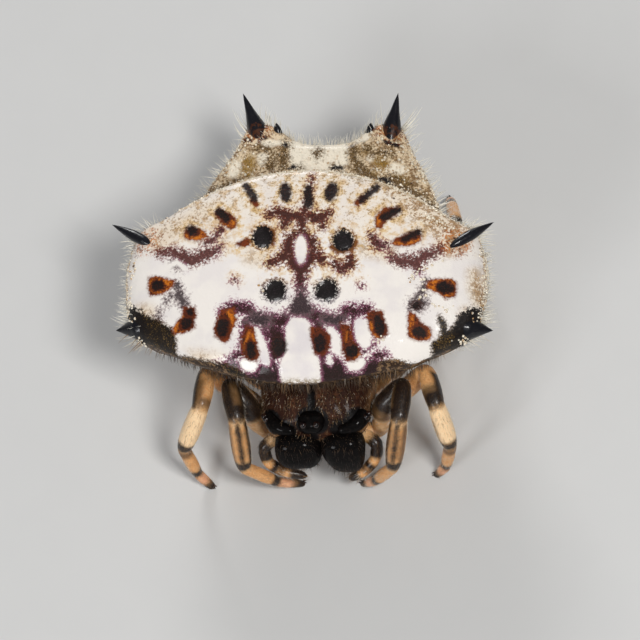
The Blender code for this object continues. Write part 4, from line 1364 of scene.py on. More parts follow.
class Finishes:
    """Every material of the model, built once."""

    def __init__(self) -> None:
        """Build them all."""
        self.enamel = EnamelFinish().build()
        self.spine = SpineFinish().build()
        self.beads = BeadFinish().build()
        self.carapace = CarapaceFinish().build()
        self.jaw = JawFinish().build()
        self.lens = LensFinish().build()
        self.limb = LimbFinish().build()
        self.hair = HairFinish().build()
        self.down = HairFinish("down", spread=3.0, size=0.05).build()
        self.horn = HornFinish().build()


# Geometry Nodes: hairs and beads


class Scatter:
    """A Geometry Nodes tree that sets small shapes on a skin and makes them real."""

    def __init__(self, name: str, sizes: Sequence[str]) -> None:
        """Make the tree with its named inputs.

        Args:
            name: the tree's name.
            sizes: the names of its own numbers. A seed and a material come after them.
        """
        self.tree = bpy.data.node_groups.new(name, "GeometryNodeTree")
        shapes = self.tree.interface
        shapes.new_socket("Geometry", in_out="OUTPUT", socket_type="NodeSocketGeometry")
        shapes.new_socket("Skin", in_out="INPUT", socket_type="NodeSocketGeometry")
        self.names: dict[str, str] = {}
        kinds = dict.fromkeys(sizes, "Float") | {"Seed": "Int", "Material": "Material"}
        for word, kind in kinds.items():
            socket = shapes.new_socket(word, in_out="INPUT", socket_type=f"NodeSocket{kind}")
            self.names[word] = socket.identifier
        self.entry = self.tree.nodes.new("NodeGroupInput")
        self.exit = self.tree.nodes.new("NodeGroupOutput")

    def node(self, kind: str, settings: dict, inputs: dict) -> bpy.types.Node:
        """Add a node with its settings and inputs.

        Args:
            kind: the node's type.
            settings: its properties, set first.
            inputs: numbers or sockets by input name or number.

        Returns:
            The node.
        """
        node = self.tree.nodes.new(kind)
        for word, setting in settings.items():
            setattr(node, word, setting)
        for word, source in inputs.items():
            if isinstance(source, Socket):
                self.tree.links.new(source, node.inputs[word])
            else:
                node.inputs[word].default_value = source
        return node

    def maths(self, operation: str, *values: Socket | float) -> Socket:
        """Return the result of a Math node."""
        return self.node("ShaderNodeMath", {"operation": operation}, dict(enumerate(values))).outputs[0]

    def vectors(self, operation: str, *values: Socket | tuple | float) -> Socket:
        """Return the result of a Vector Math node, whose scale is its fourth input."""
        inputs = dict(enumerate(values))
        if operation == "SCALE":
            inputs = {0: values[0], 3: values[1]}
        return self.node("ShaderNodeVectorMath", {"operation": operation}, inputs).outputs[0]

    def combined(self, **parts: Socket | float) -> Socket:
        """Return a vector of the parts X, Y and Z."""
        return self.node("ShaderNodeCombineXYZ", {}, parts).outputs[0]

    def named(self, name: str, kind: str = "FLOAT") -> Socket:
        """Return a named attribute of the skin."""
        return self.node("GeometryNodeInputNamedAttribute", {"data_type": kind}, {"Name": name}).outputs[0]

    def random(self, low: float, high: float, offset: int) -> Socket:
        """Return a random number for each point, from the tree's seed and an offset."""
        seed = self.maths("ADD", self.entry.outputs["Seed"], float(offset))
        return self.node("FunctionNodeRandomValue", {"data_type": "FLOAT"},
                         {2: low, 3: high, "Seed": seed}).outputs[1]

    def close(self, instances: Socket) -> None:
        """End the tree in Realize Instances and Set Material."""
        real = self.node("GeometryNodeRealizeInstances", {}, {"Geometry": instances})
        inputs = {"Geometry": real.outputs[0], "Material": self.entry.outputs["Material"]}
        coloured = self.node("GeometryNodeSetMaterial", {}, inputs)
        self.tree.links.new(coloured.outputs[0], self.exit.inputs[0])

    def grow(self, name: str, skin: Thing, values: dict) -> Thing:
        """Run the tree on a skin and return the result as a plain mesh object.

        Args:
            name: the new piece's name.
            skin: the object that it grows on.
            values: the inputs by their names.

        Returns:
            The new object.
        """
        item = bpy.data.objects.new(name, skin.data.copy())
        bpy.context.scene.collection.objects.link(item)
        change = item.modifiers.new("grow", "NODES")
        change.node_group = self.tree
        for word, value in values.items():
            change[self.names[word]] = value
        bpy.context.view_layer.update()
        shape = item.evaluated_get(bpy.context.evaluated_depsgraph_get())
        mesh = bpy.data.meshes.new_from_object(shape)
        item.modifiers.clear()
        item.data = mesh
        mesh.name = name
        mesh.shade_smooth()
        return item


class Coat(Scatter):
    """Fine tapered hairs, bent along their lie and rooted in the skin."""

    SECTIONS = 3
    ROOT = 0.04
    TIP = 0.12
    PATCH = 0.003
    LENGTHS = (0.6, 1.15)

    def __init__(self) -> None:
        """Build the tree."""
        super().__init__("coat", ("Density", "Thickness", "Bend", "Scatter"))
        entry = self.entry.outputs
        points = self.node("GeometryNodeDistributePointsOnFaces", {"distribute_method": "RANDOM"}, {
            "Mesh": entry["Skin"],
            "Density": self.maths("MULTIPLY", self.named("coat"), entry["Density"]),
            "Seed": entry["Seed"],
        })
        normal = points.outputs["Normal"]
        way = self.named("lie", "FLOAT_VECTOR")
        shake = self.node("FunctionNodeRandomValue", {"data_type": "FLOAT_VECTOR"},
                          {0: (-1.0,) * 3, 1: (1.0,) * 3, "Seed": entry["Seed"]})
        way = self.vectors("ADD", way, self.vectors("SCALE", shake.outputs[0], entry["Scatter"]))
        turn = self.node("FunctionNodeAlignRotationToVector", {"axis": "Z"}, {"Vector": way}).outputs[0]
        down = self.vectors("SCALE", normal, -1.0)
        pivot = {"axis": "X", "pivot_axis": "Z"}
        turn = self.node("FunctionNodeAlignRotationToVector", pivot,
                         {"Rotation": turn, "Vector": down}).outputs[0]
        length = self.maths("MULTIPLY", self.named("coat_length"), self.random(*self.LENGTHS, 7))
        scale = self.maths("MULTIPLY", length, MM)
        blades = self.node("GeometryNodeInstanceOnPoints", {}, {
            "Points": points.outputs["Points"],
            "Instance": self.blade(),
            "Rotation": turn,
            "Scale": self.combined(X=scale, Y=scale, Z=scale),
        })
        self.close(blades.outputs[0])

    def blade(self) -> Socket:
        """Return one hair of length 1, rooted a little below 0, with its own small map."""
        entry = self.entry.outputs
        cone = self.node("GeometryNodeMeshCone", {}, {
            "Vertices": 3,
            "Side Segments": self.SECTIONS,
            "Radius Top": self.maths("MULTIPLY", entry["Thickness"], self.TIP),
            "Radius Bottom": entry["Thickness"],
            "Depth": 1.0 + self.ROOT,
        })
        place = self.node("GeometryNodeInputPosition", {}, {}).outputs[0]
        split = self.node("ShaderNodeSeparateXYZ", {}, {"Vector": place})
        height = split.outputs["Z"]
        curve = self.maths("MULTIPLY", self.maths("MULTIPLY", height, height), entry["Bend"])
        shift = self.combined(X=curve, Z=-self.ROOT)
        bent = self.node("GeometryNodeSetPosition", {}, {"Geometry": cone.outputs["Mesh"], "Offset": shift})
        side = self.maths("DIVIDE", split.outputs["Y"], entry["Thickness"])
        spot = self.combined(X=side, Y=height)
        kept = self.node(
            "GeometryNodeStoreNamedAttribute",
            {"data_type": "FLOAT_VECTOR", "domain": "POINT"},
            {"Geometry": bent.outputs[0], "Name": "blade", "Value": spot},
        )
        return kept.outputs[0]

    def dress(self, name: str, skin: Thing, slot: Slot, hair: Material, seed: int, **sizes: float) -> None:
        """Grow a coat on a skin, give it the small map that its colours use, and attach it.

        Args:
            name: the coat's name.
            skin: the skin, with coat, coat_length, lie, tone and root_map stored.
            slot: not used.
            hair: the hairs' material.
            seed: the seed of every random draw.
            sizes: Density, Thickness, Bend and Scatter.
        """
        item = self.grow(name, skin, {"Seed": seed, "Material": hair, **sizes})
        mesh = item.data
        count = len(mesh.vertices)
        roots = np.zeros(count * 3, dtype=np.float32)
        spots = np.zeros(count * 3, dtype=np.float32)
        mesh.attributes["root_map"].data.foreach_get("vector", roots)
        mesh.attributes["blade"].data.foreach_get("vector", spots)
        spots = spots.reshape(-1, 3)[:, :2] * 0.5
        place = roots.reshape(-1, 3)[:, :2] + spots * self.PATCH
        corners = np.zeros(len(mesh.loops), dtype=np.int32)
        mesh.loops.foreach_get("vertex_index", corners)
        layer = mesh.uv_layers.new(name="OFBake")
        layer.data.foreach_set("uv", place[corners].astype(np.float32).ravel())
        layer.active = True
        kept = ("tone", "OFBake", "position", "material_index", "sharp_face")
        for word in [a.name for a in mesh.attributes if a.name not in kept and not a.name.startswith(".")]:
            mesh.attributes.remove(mesh.attributes[word])
        attach(item)


class Beads(Scatter):
    """Small round granules, half sunk in the skin."""

    SQUAT = 0.8
    RADII = (0.55, 1.25)

    def __init__(self) -> None:
        """Build the tree."""
        super().__init__("beads", ("Density", "Gap", "Radius"))
        entry = self.entry.outputs
        points = self.node("GeometryNodeDistributePointsOnFaces", {"distribute_method": "POISSON"}, {
            "Mesh": entry["Skin"],
            "Distance Min": entry["Gap"],
            "Density Max": entry["Density"],
            "Density Factor": self.named("bead"),
            "Seed": entry["Seed"],
        })
        ball = self.node("GeometryNodeMeshUVSphere", {}, {"Segments": 8, "Rings": 4, "Radius": 1.0})
        size = self.maths("MULTIPLY", entry["Radius"], self.random(*self.RADII, 3))
        balls = self.node("GeometryNodeInstanceOnPoints", {}, {
            "Points": points.outputs["Points"],
            "Instance": ball.outputs["Mesh"],
            "Rotation": points.outputs["Rotation"],
            "Scale": self.combined(X=size, Y=size, Z=self.maths("MULTIPLY", size, self.SQUAT)),
        })
        self.close(balls.outputs[0])


def attach(item: Thing, nodes: Sequence[str] = ()) -> None:
    """Make a piece ride on the body, and hide the solids that it replaces.

    Args:
        item: the finished piece.
        nodes: the solids that it replaces.
    """
    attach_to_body(item, BODY)
    if nodes:
        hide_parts(*nodes)
    log.info("piece %s: %d faces", item.name, len(item.data.polygons))


# Abdomen


Pair = tuple[Point, Point]
NO_SHIFT: Pair = ((0.0, 0.0, 0.0), (0.0, 0.0, 0.0))


@dataclass(frozen=True)
class Spine:
    """A spine on the right-hand rim: its foot, tip and radius, and the swelling below it.

    `stain` holds how far the black and the brown spread round its foot and how far ahead
    of it they lie, `shape` the radii along it, `tips` and `feet` where the tip and the
    foot of each side lie off their plain places, and `rusty` how brown its foot is.
    """

    foot: Point
    tip: Point
    radius: float
    height: float
    reach: float
    stain: Point
    shape: tuple[tuple[float, float], ...]
    tips: Pair = NO_SHIFT
    feet: Pair = NO_SHIFT
    rusty: float = 0.0

    def root(self, side: Side) -> Array:
        """Return where the horn's foot lies on a side."""
        offset = self.feet[side.number]
        return mirrored(self.foot, side) + self.way(side) * self.height * 0.5 + mirrored(offset, side)

    def way(self, side: Side) -> Array:
        """Return the way the spine points on a side."""
        return unit(mirrored(self.tip, side) - mirrored(self.foot, side))


DROP = ((-0.25, 0.30), (-0.1, 0.72), (0.1, 0.98), (0.3, 1.0), (0.5, 0.84), (0.7, 0.56), (0.88, 0.26),
        (1.0, 0.0))
STOUT = ((-0.5, 1.0), (0.0, 0.96), (0.25, 0.90), (0.5, 0.74), (0.72, 0.50), (0.9, 0.22), (1.0, 0.0))
BROAD = ((-0.7, 0.40), (-0.45, 0.80), (-0.2, 0.98), (0.0, 0.96), (0.3, 0.70), (0.6, 0.40), (0.85, 0.15),
         (1.0, 0.0))
SLIM = ((-0.5, 1.1), (0.0, 0.95), (0.2, 0.78), (0.45, 0.50), (0.7, 0.29), (0.9, 0.11), (1.0, 0.0))
SPINES = {
    "front_lateral": Spine((4.02, 1.66, 3.54), (4.60, 1.60, 3.50), 0.30, 0.10, 0.40, (0.56, 0.12, 0.05),
                           BROAD,
                           feet=((-0.02, -0.05, 0.08), (-0.02, -0.05, 0.08))),
    "median_lateral": Spine((3.80, 3.80, 4.08), (4.66, 4.14, 4.12), 0.135, 0.20, 0.42, (0.10, 0.34, -0.08),
                            DROP,
                            tips=((-0.14, 0.0, 0.0), (-0.14, 0.06, 0.0)),
                            feet=((0.04, -0.20, 0.15), (-0.15, -0.27, 0.23))),
    "posterior": Spine((1.60, 7.06, 3.02), (1.85, 7.94, 3.46), 0.25, 0.40, 0.50, (0.26, 0.44, 0.12), SLIM,
                       tips=((-0.16, 0.09, 0.0), (-0.05, 0.09, 0.0)), rusty=1.0),
}
TUBERCLE = Spine((1.12, 7.02, 3.06), (1.16, 7.30, 3.31), 0.12, 0.17, 0.34, (0.0, 0.0, 0.0), STOUT)

# The swelling of the right-hand front rim: its place, how far it goes and its reach.
RIM_SWELLING = ((2.50, 0.95, 3.32), (0.02, -0.20, 0.0), 0.62)

ABDOMEN_ROWS = (
    # y top, z top, x rim, y rim, z rim, y bottom, z bottom
    (0.60, 3.18, 0.00, 0.60, 3.18, 0.60, 3.18),
    (0.32, 3.36, 2.30, 0.98, 3.22, 1.10, 3.06),
    (0.06, 3.62, 3.20, 0.95, 3.36, 1.45, 2.98),
    (0.00, 3.86, 3.42, 0.96, 3.46, 1.60, 2.90),
    (0.30, 4.20, 3.90, 1.22, 3.50, 1.85, 2.65),
    (0.85, 4.47, 4.18, 1.62, 3.55, 2.15, 2.30),
    (1.70, 4.66, 4.36, 2.20, 3.60, 2.50, 1.88),
    (2.90, 4.74, 4.42, 2.85, 3.65, 3.00, 1.52),
    (4.10, 4.72, 4.34, 3.38, 3.73, 3.60, 1.30),
    (5.00, 4.65, 4.02, 3.82, 3.88, 4.10, 1.20),
    (5.36, 4.57, 3.76, 4.02, 3.95, 4.50, 1.24),
    (5.48, 4.40, 3.62, 4.18, 3.86, 4.65, 1.30),
    (5.56, 3.80, 3.34, 4.50, 3.52, 4.80, 1.38),
    (5.68, 3.40, 3.06, 4.92, 3.18, 5.00, 1.48),
    (6.05, 3.30, 2.86, 5.42, 3.02, 5.40, 1.66),
    (6.58, 3.28, 2.46, 6.22, 2.94, 5.90, 1.92),
    (6.94, 3.12, 1.94, 6.92, 2.88, 6.30, 2.16),
    (7.05, 2.88, 1.60, 7.10, 2.74, 6.60, 2.34),
    (6.90, 2.58, 0.00, 6.90, 2.58, 6.90, 2.58),
)


class Rounded:
    """A body of sections one behind another, whose `surface` gives its points."""

    lines: tuple[float, ...]
    widest_row: float

    def surface(self, places: Array, angles: Array) -> Array:
        """Return points at places in rows and angles from the top."""
        raise NotImplementedError

    def meridians(self, places: Array) -> Array:
        """Return points along the body's lines from front to rear, side by side."""
        return np.concatenate([self.surface(places, np.full_like(places, angle)) for angle in self.lines],
                              axis=-1)

    def section(self, angles: Array) -> Array:
        """Return points round the widest section."""
        return self.surface(np.full_like(angles, self.widest_row), angles)


@dataclass
class Abdomen(Rounded):
    """The wide hard abdomen, with its markings, beads, spines and hairs."""

    finishes: Finishes
    coat: Coat
    beads: Beads
    rings: int = 232
    top_columns: int = 260
    bottom_columns: int = 110
    top_power: float = 2.4
    bottom_power: float = 2.0
    ridge: float = 10.35
    valley: float = 12.6
    dip: float = 0.17
    dip_width: float = 0.85
    lines: tuple[float, ...] = (0.0, 0.7, 1.4, 3.1)
    widest_row: float = 7.0
    seam: float = 0.05
    pit_depth: float = 0.075
    core_depth: float = 0.009
    horn_end: float = 0.995
    horn_rings: int = 46
    horn_columns: int = 24

    def surface(self, places: Array, angles: Array) -> Array:
        """Return points of the abdomen."""
        rows = Track(range(len(ABDOMEN_ROWS)), ABDOMEN_ROWS).at(places)
        y_top, z_top, x_rim, y_rim, z_rim, y_bottom, z_bottom = np.moveaxis(rows, -1, 0)
        upper = np.cos(angles) >= 0.0
        out, rise = superellipse(angles, np.where(upper, self.top_power, self.bottom_power))
        y_end = np.where(upper, y_top, y_bottom)
        z_end = np.where(upper, z_top, z_bottom)
        y = y_rim + (y_end - y_rim) * (1.0 - out * out)
        z = z_rim + (z_end - z_rim) * np.abs(rise)
        x = x_rim * out
        low = step(15.0, 16.4, places)
        y = y - self.dip * bump(x, 0.0, self.dip_width) * low * step(-0.2, 0.5, np.cos(angles))
        points = np.stack((x, y, z), axis=-1)
        push = np.zeros_like(points)
        for spine in (*SPINES.values(), TUBERCLE):
            for side in Side:
                away = np.linalg.norm(points - mirrored(spine.foot, side), axis=-1) / spine.reach
                push += spine.way(side) * spine.height * np.exp(-away * away)[..., None]
        centre, way, reach = RIM_SWELLING
        away = np.linalg.norm(points - np.array(centre), axis=-1) / reach
        return points + push + np.array(way) * np.exp(-away * away)[..., None]

    def skin(self) -> Loft:
        """Return the abdomen's skin, evenly divided, before its relief."""
        last = len(ABDOMEN_ROWS) - 1.0
        places = even_places(self.meridians, 0.03, last - 0.02, self.rings)
        quarter = math.pi / 2.0
        top = even_places(self.section, -quarter, quarter, self.top_columns + 1)[:-1]
        bottom = even_places(self.section, quarter, 3.0 * quarter, self.bottom_columns + 1)[:-1]
        angles = np.concatenate((top, bottom))
        start = int(np.argmax(angles > math.pi))
        angles = np.concatenate((angles[start:] - math.tau, angles[:start]))
        place, angle = np.meshgrid(places, angles, indexing="ij")
        ends = self.surface(np.array((0.0, last)), np.zeros(2))
        return Loft(self.surface(place, angle), place, angle, ends)

    def fields(self, loft: Loft) -> dict[str, Array]:
        """Return every value that the skin stores for its finish and its coat."""
        points, place, angle, normals = loft.grid, loft.place, loft.angle, loft.normals
        u, v = chart(points)
        facing = normals @ CHART_LOOK
        top = step(-0.05, 0.12, np.cos(angle))
        plate = top * step(0.02, 0.16, facing) * step(1.9, 2.5, place)
        plate = plate * step(self.ridge + 0.9, self.ridge + 0.5, place)
        fields = {layer.value: np.where(plate > 0.3, deepest(marks, u, v, CHART_SCALE), -1.0)
                  for layer, marks in PLATE_MARKS.items()}
        behind = step(self.ridge + 0.4, self.valley, place)
        fields["lobe"] = behind * top
        for word, marks in LOBE_MARKS.items():
            fields[word] = np.where(place > self.valley - 0.5, deepest(marks, u, v, CHART_SCALE), -1.0)
        fields["lobe_edge"] = step(0.15, 0.6, np.abs(points[..., 0]) / 2.6)
        fields["belly"] = step(0.02, -0.20, np.cos(angle))
        fields["face"] = step(2.9, 2.3, place) * step(-0.1, 0.1, np.cos(angle))
        rear_line = 238.0 + 14.0 * np.abs(u - 305.0) / 150.0
        fields["rear"] = step(10.0, -30.0, v - rear_line) * (1.0 - behind)
        fields["red"] = step(300.0, 262.0, v) * step(95.0, 65.0, np.abs(u - PLATE_MIDDLE))
        fields["margin"] = top * step(0.36, 0.08, np.cos(angle)) * step(3.4, 4.4, place)
        fields["margin"] = fields["margin"] * (1.0 - behind * 0.4)
        tongue = step(26.0, 14.0, np.abs(u - TONGUE_MIDDLE))
        edge_on = bump(facing, 0.28, 0.26)
        low_tongue = step(372.0, 384.0, v) * step(376.0, 380.0, v)
        fields["tongue_end"] = low_tongue * step(30.0, 20.0, np.abs(u - TONGUE_MIDDLE))
        fields["line"] = top * edge_on * step(9.4, 9.9, place) * step(12.0, 11.6, place)
        fields["right"] = step(-0.4, 1.0, points[..., 0])
        fields["low_band"] = step(357.0, 368.0, v)
        fields["side_band"] = step(278.0, 266.0, v) * step(78.0, 92.0, np.abs(u - PLATE_MIDDLE))
        fields["lip"] = top * step(0.62, 0.36, facing) * step(5.2, 4.2, place) * (1.0 - 0.5 * tongue)
        x, y = points[..., 0], points[..., 1]
        fields["crest"] = top * step(8.7, 10.3, place) * (0.55 + 0.45 * step(0.2, 1.2, x)) * (1.0 - behind)
        fields["venter"] = deepest(BELLY_PALE, x, y, 1.0)
        fields["furrow"] = deepest(BELLY_FURROW, x, y, 1.0)
        burnt, scorched = np.full(place.shape, -1.0), np.full(place.shape, -1.0)
        for spine in SPINES.values():
            for side in Side:
                black, brown, ahead = spine.stain
                away = np.linalg.norm(points - spine.root(side) - spine.way(side) * ahead, axis=-1)
                burnt = np.maximum(burnt, black - away)
                scorched = np.maximum(scorched, brown - away)
        fields["burnt"], fields["scorched"] = burnt, scorched
        fields.update(self.coat_fields(loft))
        return fields

    def coat_fields(self, loft: Loft) -> dict[str, Array]:
        """Return where hairs and beads grow, how long, how pale and which way."""
        points, place, angle, normals = loft.grid, loft.place, loft.angle, loft.normals
        up, facing, x = np.cos(angle), normals @ CHART_LOOK, points[..., 0]
        rim = bump(up, 0.02, 0.16) * step(3.2, 4.5, place)
        crest = bump(place, 10.9, 0.30) * step(-0.1, 0.15, up)
        lobe = step(self.valley, self.valley + 0.8, place) * step(-0.1, 0.1, up)
        tail = step(15.6, 16.6, place) * step(-0.3, 0.1, up)
        belly = step(0.0, -0.2, up)
        face = step(3.0, 2.4, place) * step(-0.15, 0.15, up)
        near, bare, fan = np.zeros(place.shape), np.zeros(place.shape), np.zeros(points.shape)
        averted = step(0.80, 0.35, facing)
        for spine in SPINES.values():
            for side in Side:
                foot = mirrored(spine.foot, side) + spine.way(side) * spine.height * 0.6
                offset = points - foot
                closeness = np.exp(-((np.linalg.norm(offset, axis=-1) / 0.46) ** 2))
                near = np.maximum(near, closeness * (0.02 + 0.98 * averted))
                bare = np.maximum(bare,
                                  np.exp(-((np.linalg.norm(points - spine.root(side), axis=-1) / 0.36) ** 6)))
                spread = spine.way(side) * 0.8 + unit(offset) * 0.7
                fan += closeness[..., None] * (spread - CHART_LOOK * (spread @ CHART_LOOK)[..., None] * 0.7)
        past_middle = points[..., 1:2] - 3.0
        outward = unit(points * np.array((1.0, 0.0, 0.0)) + np.array((0.0, 0.6, 0.0)) * past_middle)
        lie = normals * (0.75 - 0.35 * near)[..., None] + outward * (rim + tail)[..., None] * 0.8 + fan * 1.3
        lie = lie + np.array((0.0, 0.9, -0.3)) * (belly * 0.8)[..., None]
        fringe = step(5.4, 4.6, place) * step(0.5, 0.25, facing) * step(-0.15, 0.15, up)
        lie = lie + np.array((0.0, -0.55, -0.95)) * (face.clip(0.0, 1.0) + fringe)[..., None]
        density = 0.90 * rim + 0.25 * crest + 0.45 * lobe + tail + 0.50 * belly + 0.9 * face + near + fringe
        density = density * (1.0 - 0.9 * bare)
        seam = np.abs(np.abs(angle) - math.pi) < self.seam
        slopes = step(self.valley - 0.5, self.valley + 1.0, place) * bump(up, 0.05, 0.22)
        length = 0.13 + 0.12 * rim + 0.28 * near + 0.16 * tail + 0.12 * slopes
        length = length + 0.07 * (face + fringe).clip(0.0, 1.0)
        ragged = 0.5 + 0.5 * np.sin(x * 11.0) * np.sin(x * 4.3 + 1.0)
        length = length + (0.05 + 0.09 * ragged) * fringe * step(3.1, 1.9, np.abs(x - 0.3))
        tone = 1.05 - 0.40 * belly * (1.0 - near) * (1.0 - rim)
        tone = tone - (0.90 + 0.10 * ragged) * np.maximum(face, fringe)
        edge_on = bump(facing, 0.25, 0.22) * step(9.4, 9.8, place) * step(12.0, 11.6, place)
        granules = 1.2 * bump(up, 0.08, 0.14) * step(3.4, 4.4, place) + 1.3 * edge_on * step(0.0, 0.1, up)
        slope = step(1.6, 2.8, np.abs(x)) * bump(place, self.ridge, 0.9) * step(0.0, 0.2, up)
        slope = slope * (0.35 + 0.65 * (x > 0.0))
        # Pale beads where the light glints: painted highlights, with real margin granules among them.
        glint_beads = step(-0.01, 0.02, deepest(GLINT_BEADS, *chart(points), CHART_SCALE)) * step(-0.5, -0.3, up)
        granules = granules + 0.55 * slope + 0.40 * lobe * step(1.0, 2.0, np.abs(x)) + glint_beads
        return {
            "coat": np.where(seam, 0.0, np.clip(density, 0.0, 1.0)),
            "coat_length": length,
            "tone": tone,
            "lie": lie,
            "bead": np.clip(granules, 0.0, 1.0),
            "root_map": loft.unwrap(),
        }

    def relief(self, fields: dict[str, Array]) -> Array:
        """Return how far the skin stands out of or sinks into its plain shape."""
        pits = step(-0.06, 0.14, fields["pit"])
        pit_rim = bump(fields["pit"], -0.08, 0.05)
        cores = step(-0.05, 0.12, fields["core"])
        ring = bump(fields["orange"], 0.0, 0.05)
        bands = step(-0.04, 0.05, fields["maroon"]) * (1.0 - step(-0.04, 0.04, fields["white"]))
        furrow = step(-0.06, 0.03, fields["furrow"]) * fields["belly"]
        pale = step(-0.1, 0.1, fields["venter"]) * fields["belly"]
        height = -self.pit_depth * pits + 0.012 * pit_rim - self.core_depth * cores + 0.012 * ring
        return height - 0.012 * bands - 0.05 * furrow + 0.02 * pale

    def build(self) -> None:
        """Make the skin, the spines, the beads and the coat."""
        loft = self.skin()
        fields = self.fields(loft)
        loft.push(self.relief(fields) - SKIN_INSET)
        skin = loft.piece("abdomen_skin", self.finishes.enamel, fields)
        attach(skin, ("abdomen",))
        attach(self.spines())
        sizes = {"Density": 2.8e8, "Gap": 0.052 * MM, "Radius": 0.034 * MM, "Seed": 11}
        # The beads include pale ones laid where the light glints: painted highlights.
        beads = self.beads.grow("rim_granules_and_glint_beads", skin, {**sizes, "Material": self.finishes.beads})
        attach(beads)
        self.coat.dress("abdomen_hairs", skin, Slot.ABDOMEN, self.finishes.hair, seed=21,
                        Density=1.5e8, Thickness=0.036, Bend=0.22, Scatter=0.34)

    def spines(self) -> Thing:
        """Return the six spines and the two small tubercles as one piece."""
        items = []
        for side in Side:
            for name, spine in (*SPINES.items(), ("tubercle", TUBERCLE)):
                way = spine.way(side)
                tip = mirrored(spine.tip, side) + np.array(spine.tips[side.number])
                foot = spine.root(side)
                shares = np.linspace(spine.shape[0][0], self.horn_end, self.horn_rings)
                radii = Track(*zip(*spine.shape)).value(shares) * spine.radius
                across = unit(np.cross(way, np.array((0.0, 0.3, 1.0))))
                up = np.cross(across, way)
                angles = np.arange(self.horn_columns) * math.tau / self.horn_columns
                spokes = across * np.cos(angles)[:, None] + up * np.sin(angles)[:, None]
                flutes = 1.0 + 0.015 * np.cos(angles * 6.0)[None, :] * step(0.9, 0.2, shares)[:, None]
                centres = foot + (tip - foot) * shares[:, None]
                grid = centres[:, None] + spokes[None] * (radii[:, None] * flutes)[..., None]
                loft = Loft(grid, np.broadcast_to(shares[:, None], flutes.shape), flutes,
                            np.stack((centres[0], tip)))
                foot_share = np.broadcast_to((step(0.42, 0.0, shares) * spine.rusty)[:, None], flutes.shape)
                items.append(loft.piece(f"{name}_{side.word}", self.finishes.spine, {"foot": foot_share}))
        return join("spines", items)


# Head and chest


PROSOMA_ROWS = (
    # y, half width, z of the widest line, z top, z bottom
    (-0.60, 0.00, 2.00, 2.00, 2.00),
    (-0.52, 0.86, 2.00, 2.36, 1.66),
    (-0.37, 1.12, 1.97, 2.58, 1.36),
    (-0.08, 1.28, 1.95, 2.76, 1.17),
    (0.35, 1.36, 1.95, 2.89, 1.08),
    (0.80, 1.40, 1.90, 2.92, 1.05),
    (1.25, 1.30, 1.85, 2.74, 1.06),
    (1.65, 1.00, 1.85, 2.44, 1.16),
    (1.95, 0.55, 1.85, 2.14, 1.45),
    (2.10, 0.00, 1.85, 1.85, 1.85),
)


POLES = np.array(((0.0, 0.0, -1.0), (0.0, 0.0, 1.0)))


def unit_ball(across: int, up: int, start: float = 0.0) -> tuple[Array, Array, Array]:
    """Return the points of a ball of radius 1, with the tilt and the angle of each.

    Args:
        across: points round it.
        up: rings from its foot to its top.
        start: the angle of the first point of a ring.

    Returns:
        The points as rings by columns by 3, and their tilts and angles.
    """
    tilt = (np.arange(up) + 0.6) / (up + 0.2) * math.pi - math.pi / 2.0
    angles = np.arange(across) * math.tau / across + start
    tilt, angles = np.meshgrid(tilt, angles, indexing="ij")
    level = np.cos(tilt)
    return np.stack((level * np.cos(angles), level * np.sin(angles), np.sin(tilt)), axis=-1), tilt, angles


def ball(name: str, centre: Sequence[float], size: Sequence[float], finish: Material,
         across: int = 32, up: int = 20, shape: Callable[[Array], Array] | None = None,
         fields: dict[str, Callable[[Array], Array]] | None = None) -> Thing:
    """Make a rounded body turned with the head, shaped by a function.

    Args:
        name: the piece's name.
        centre: its centre before the head turns.
        size: its three half sizes.
        finish: its material.
        across: points round it.
        up: rings from its foot to its top.
        shape: changes the points of a unit ball, before its sizes are applied.
        fields: values to store, worked out from the points of the unit ball.

    Returns:
        The new object.
    """
    sphere, tilt, angles = unit_ball(across, up)
    formed, formed_poles = (sphere, POLES) if shape is None else (shape(sphere), shape(POLES))
    place = turned(formed * np.array(size) + np.array(centre))
    ends = turned(formed_poles * np.array(size) + np.array(centre))
    loft = Loft(place, tilt, angles, ends)
    stored = {word: rule(sphere) for word, rule in (fields or {}).items()}
    stored["root_map"] = loft.unwrap()
    return loft.piece(name, finish, stored)


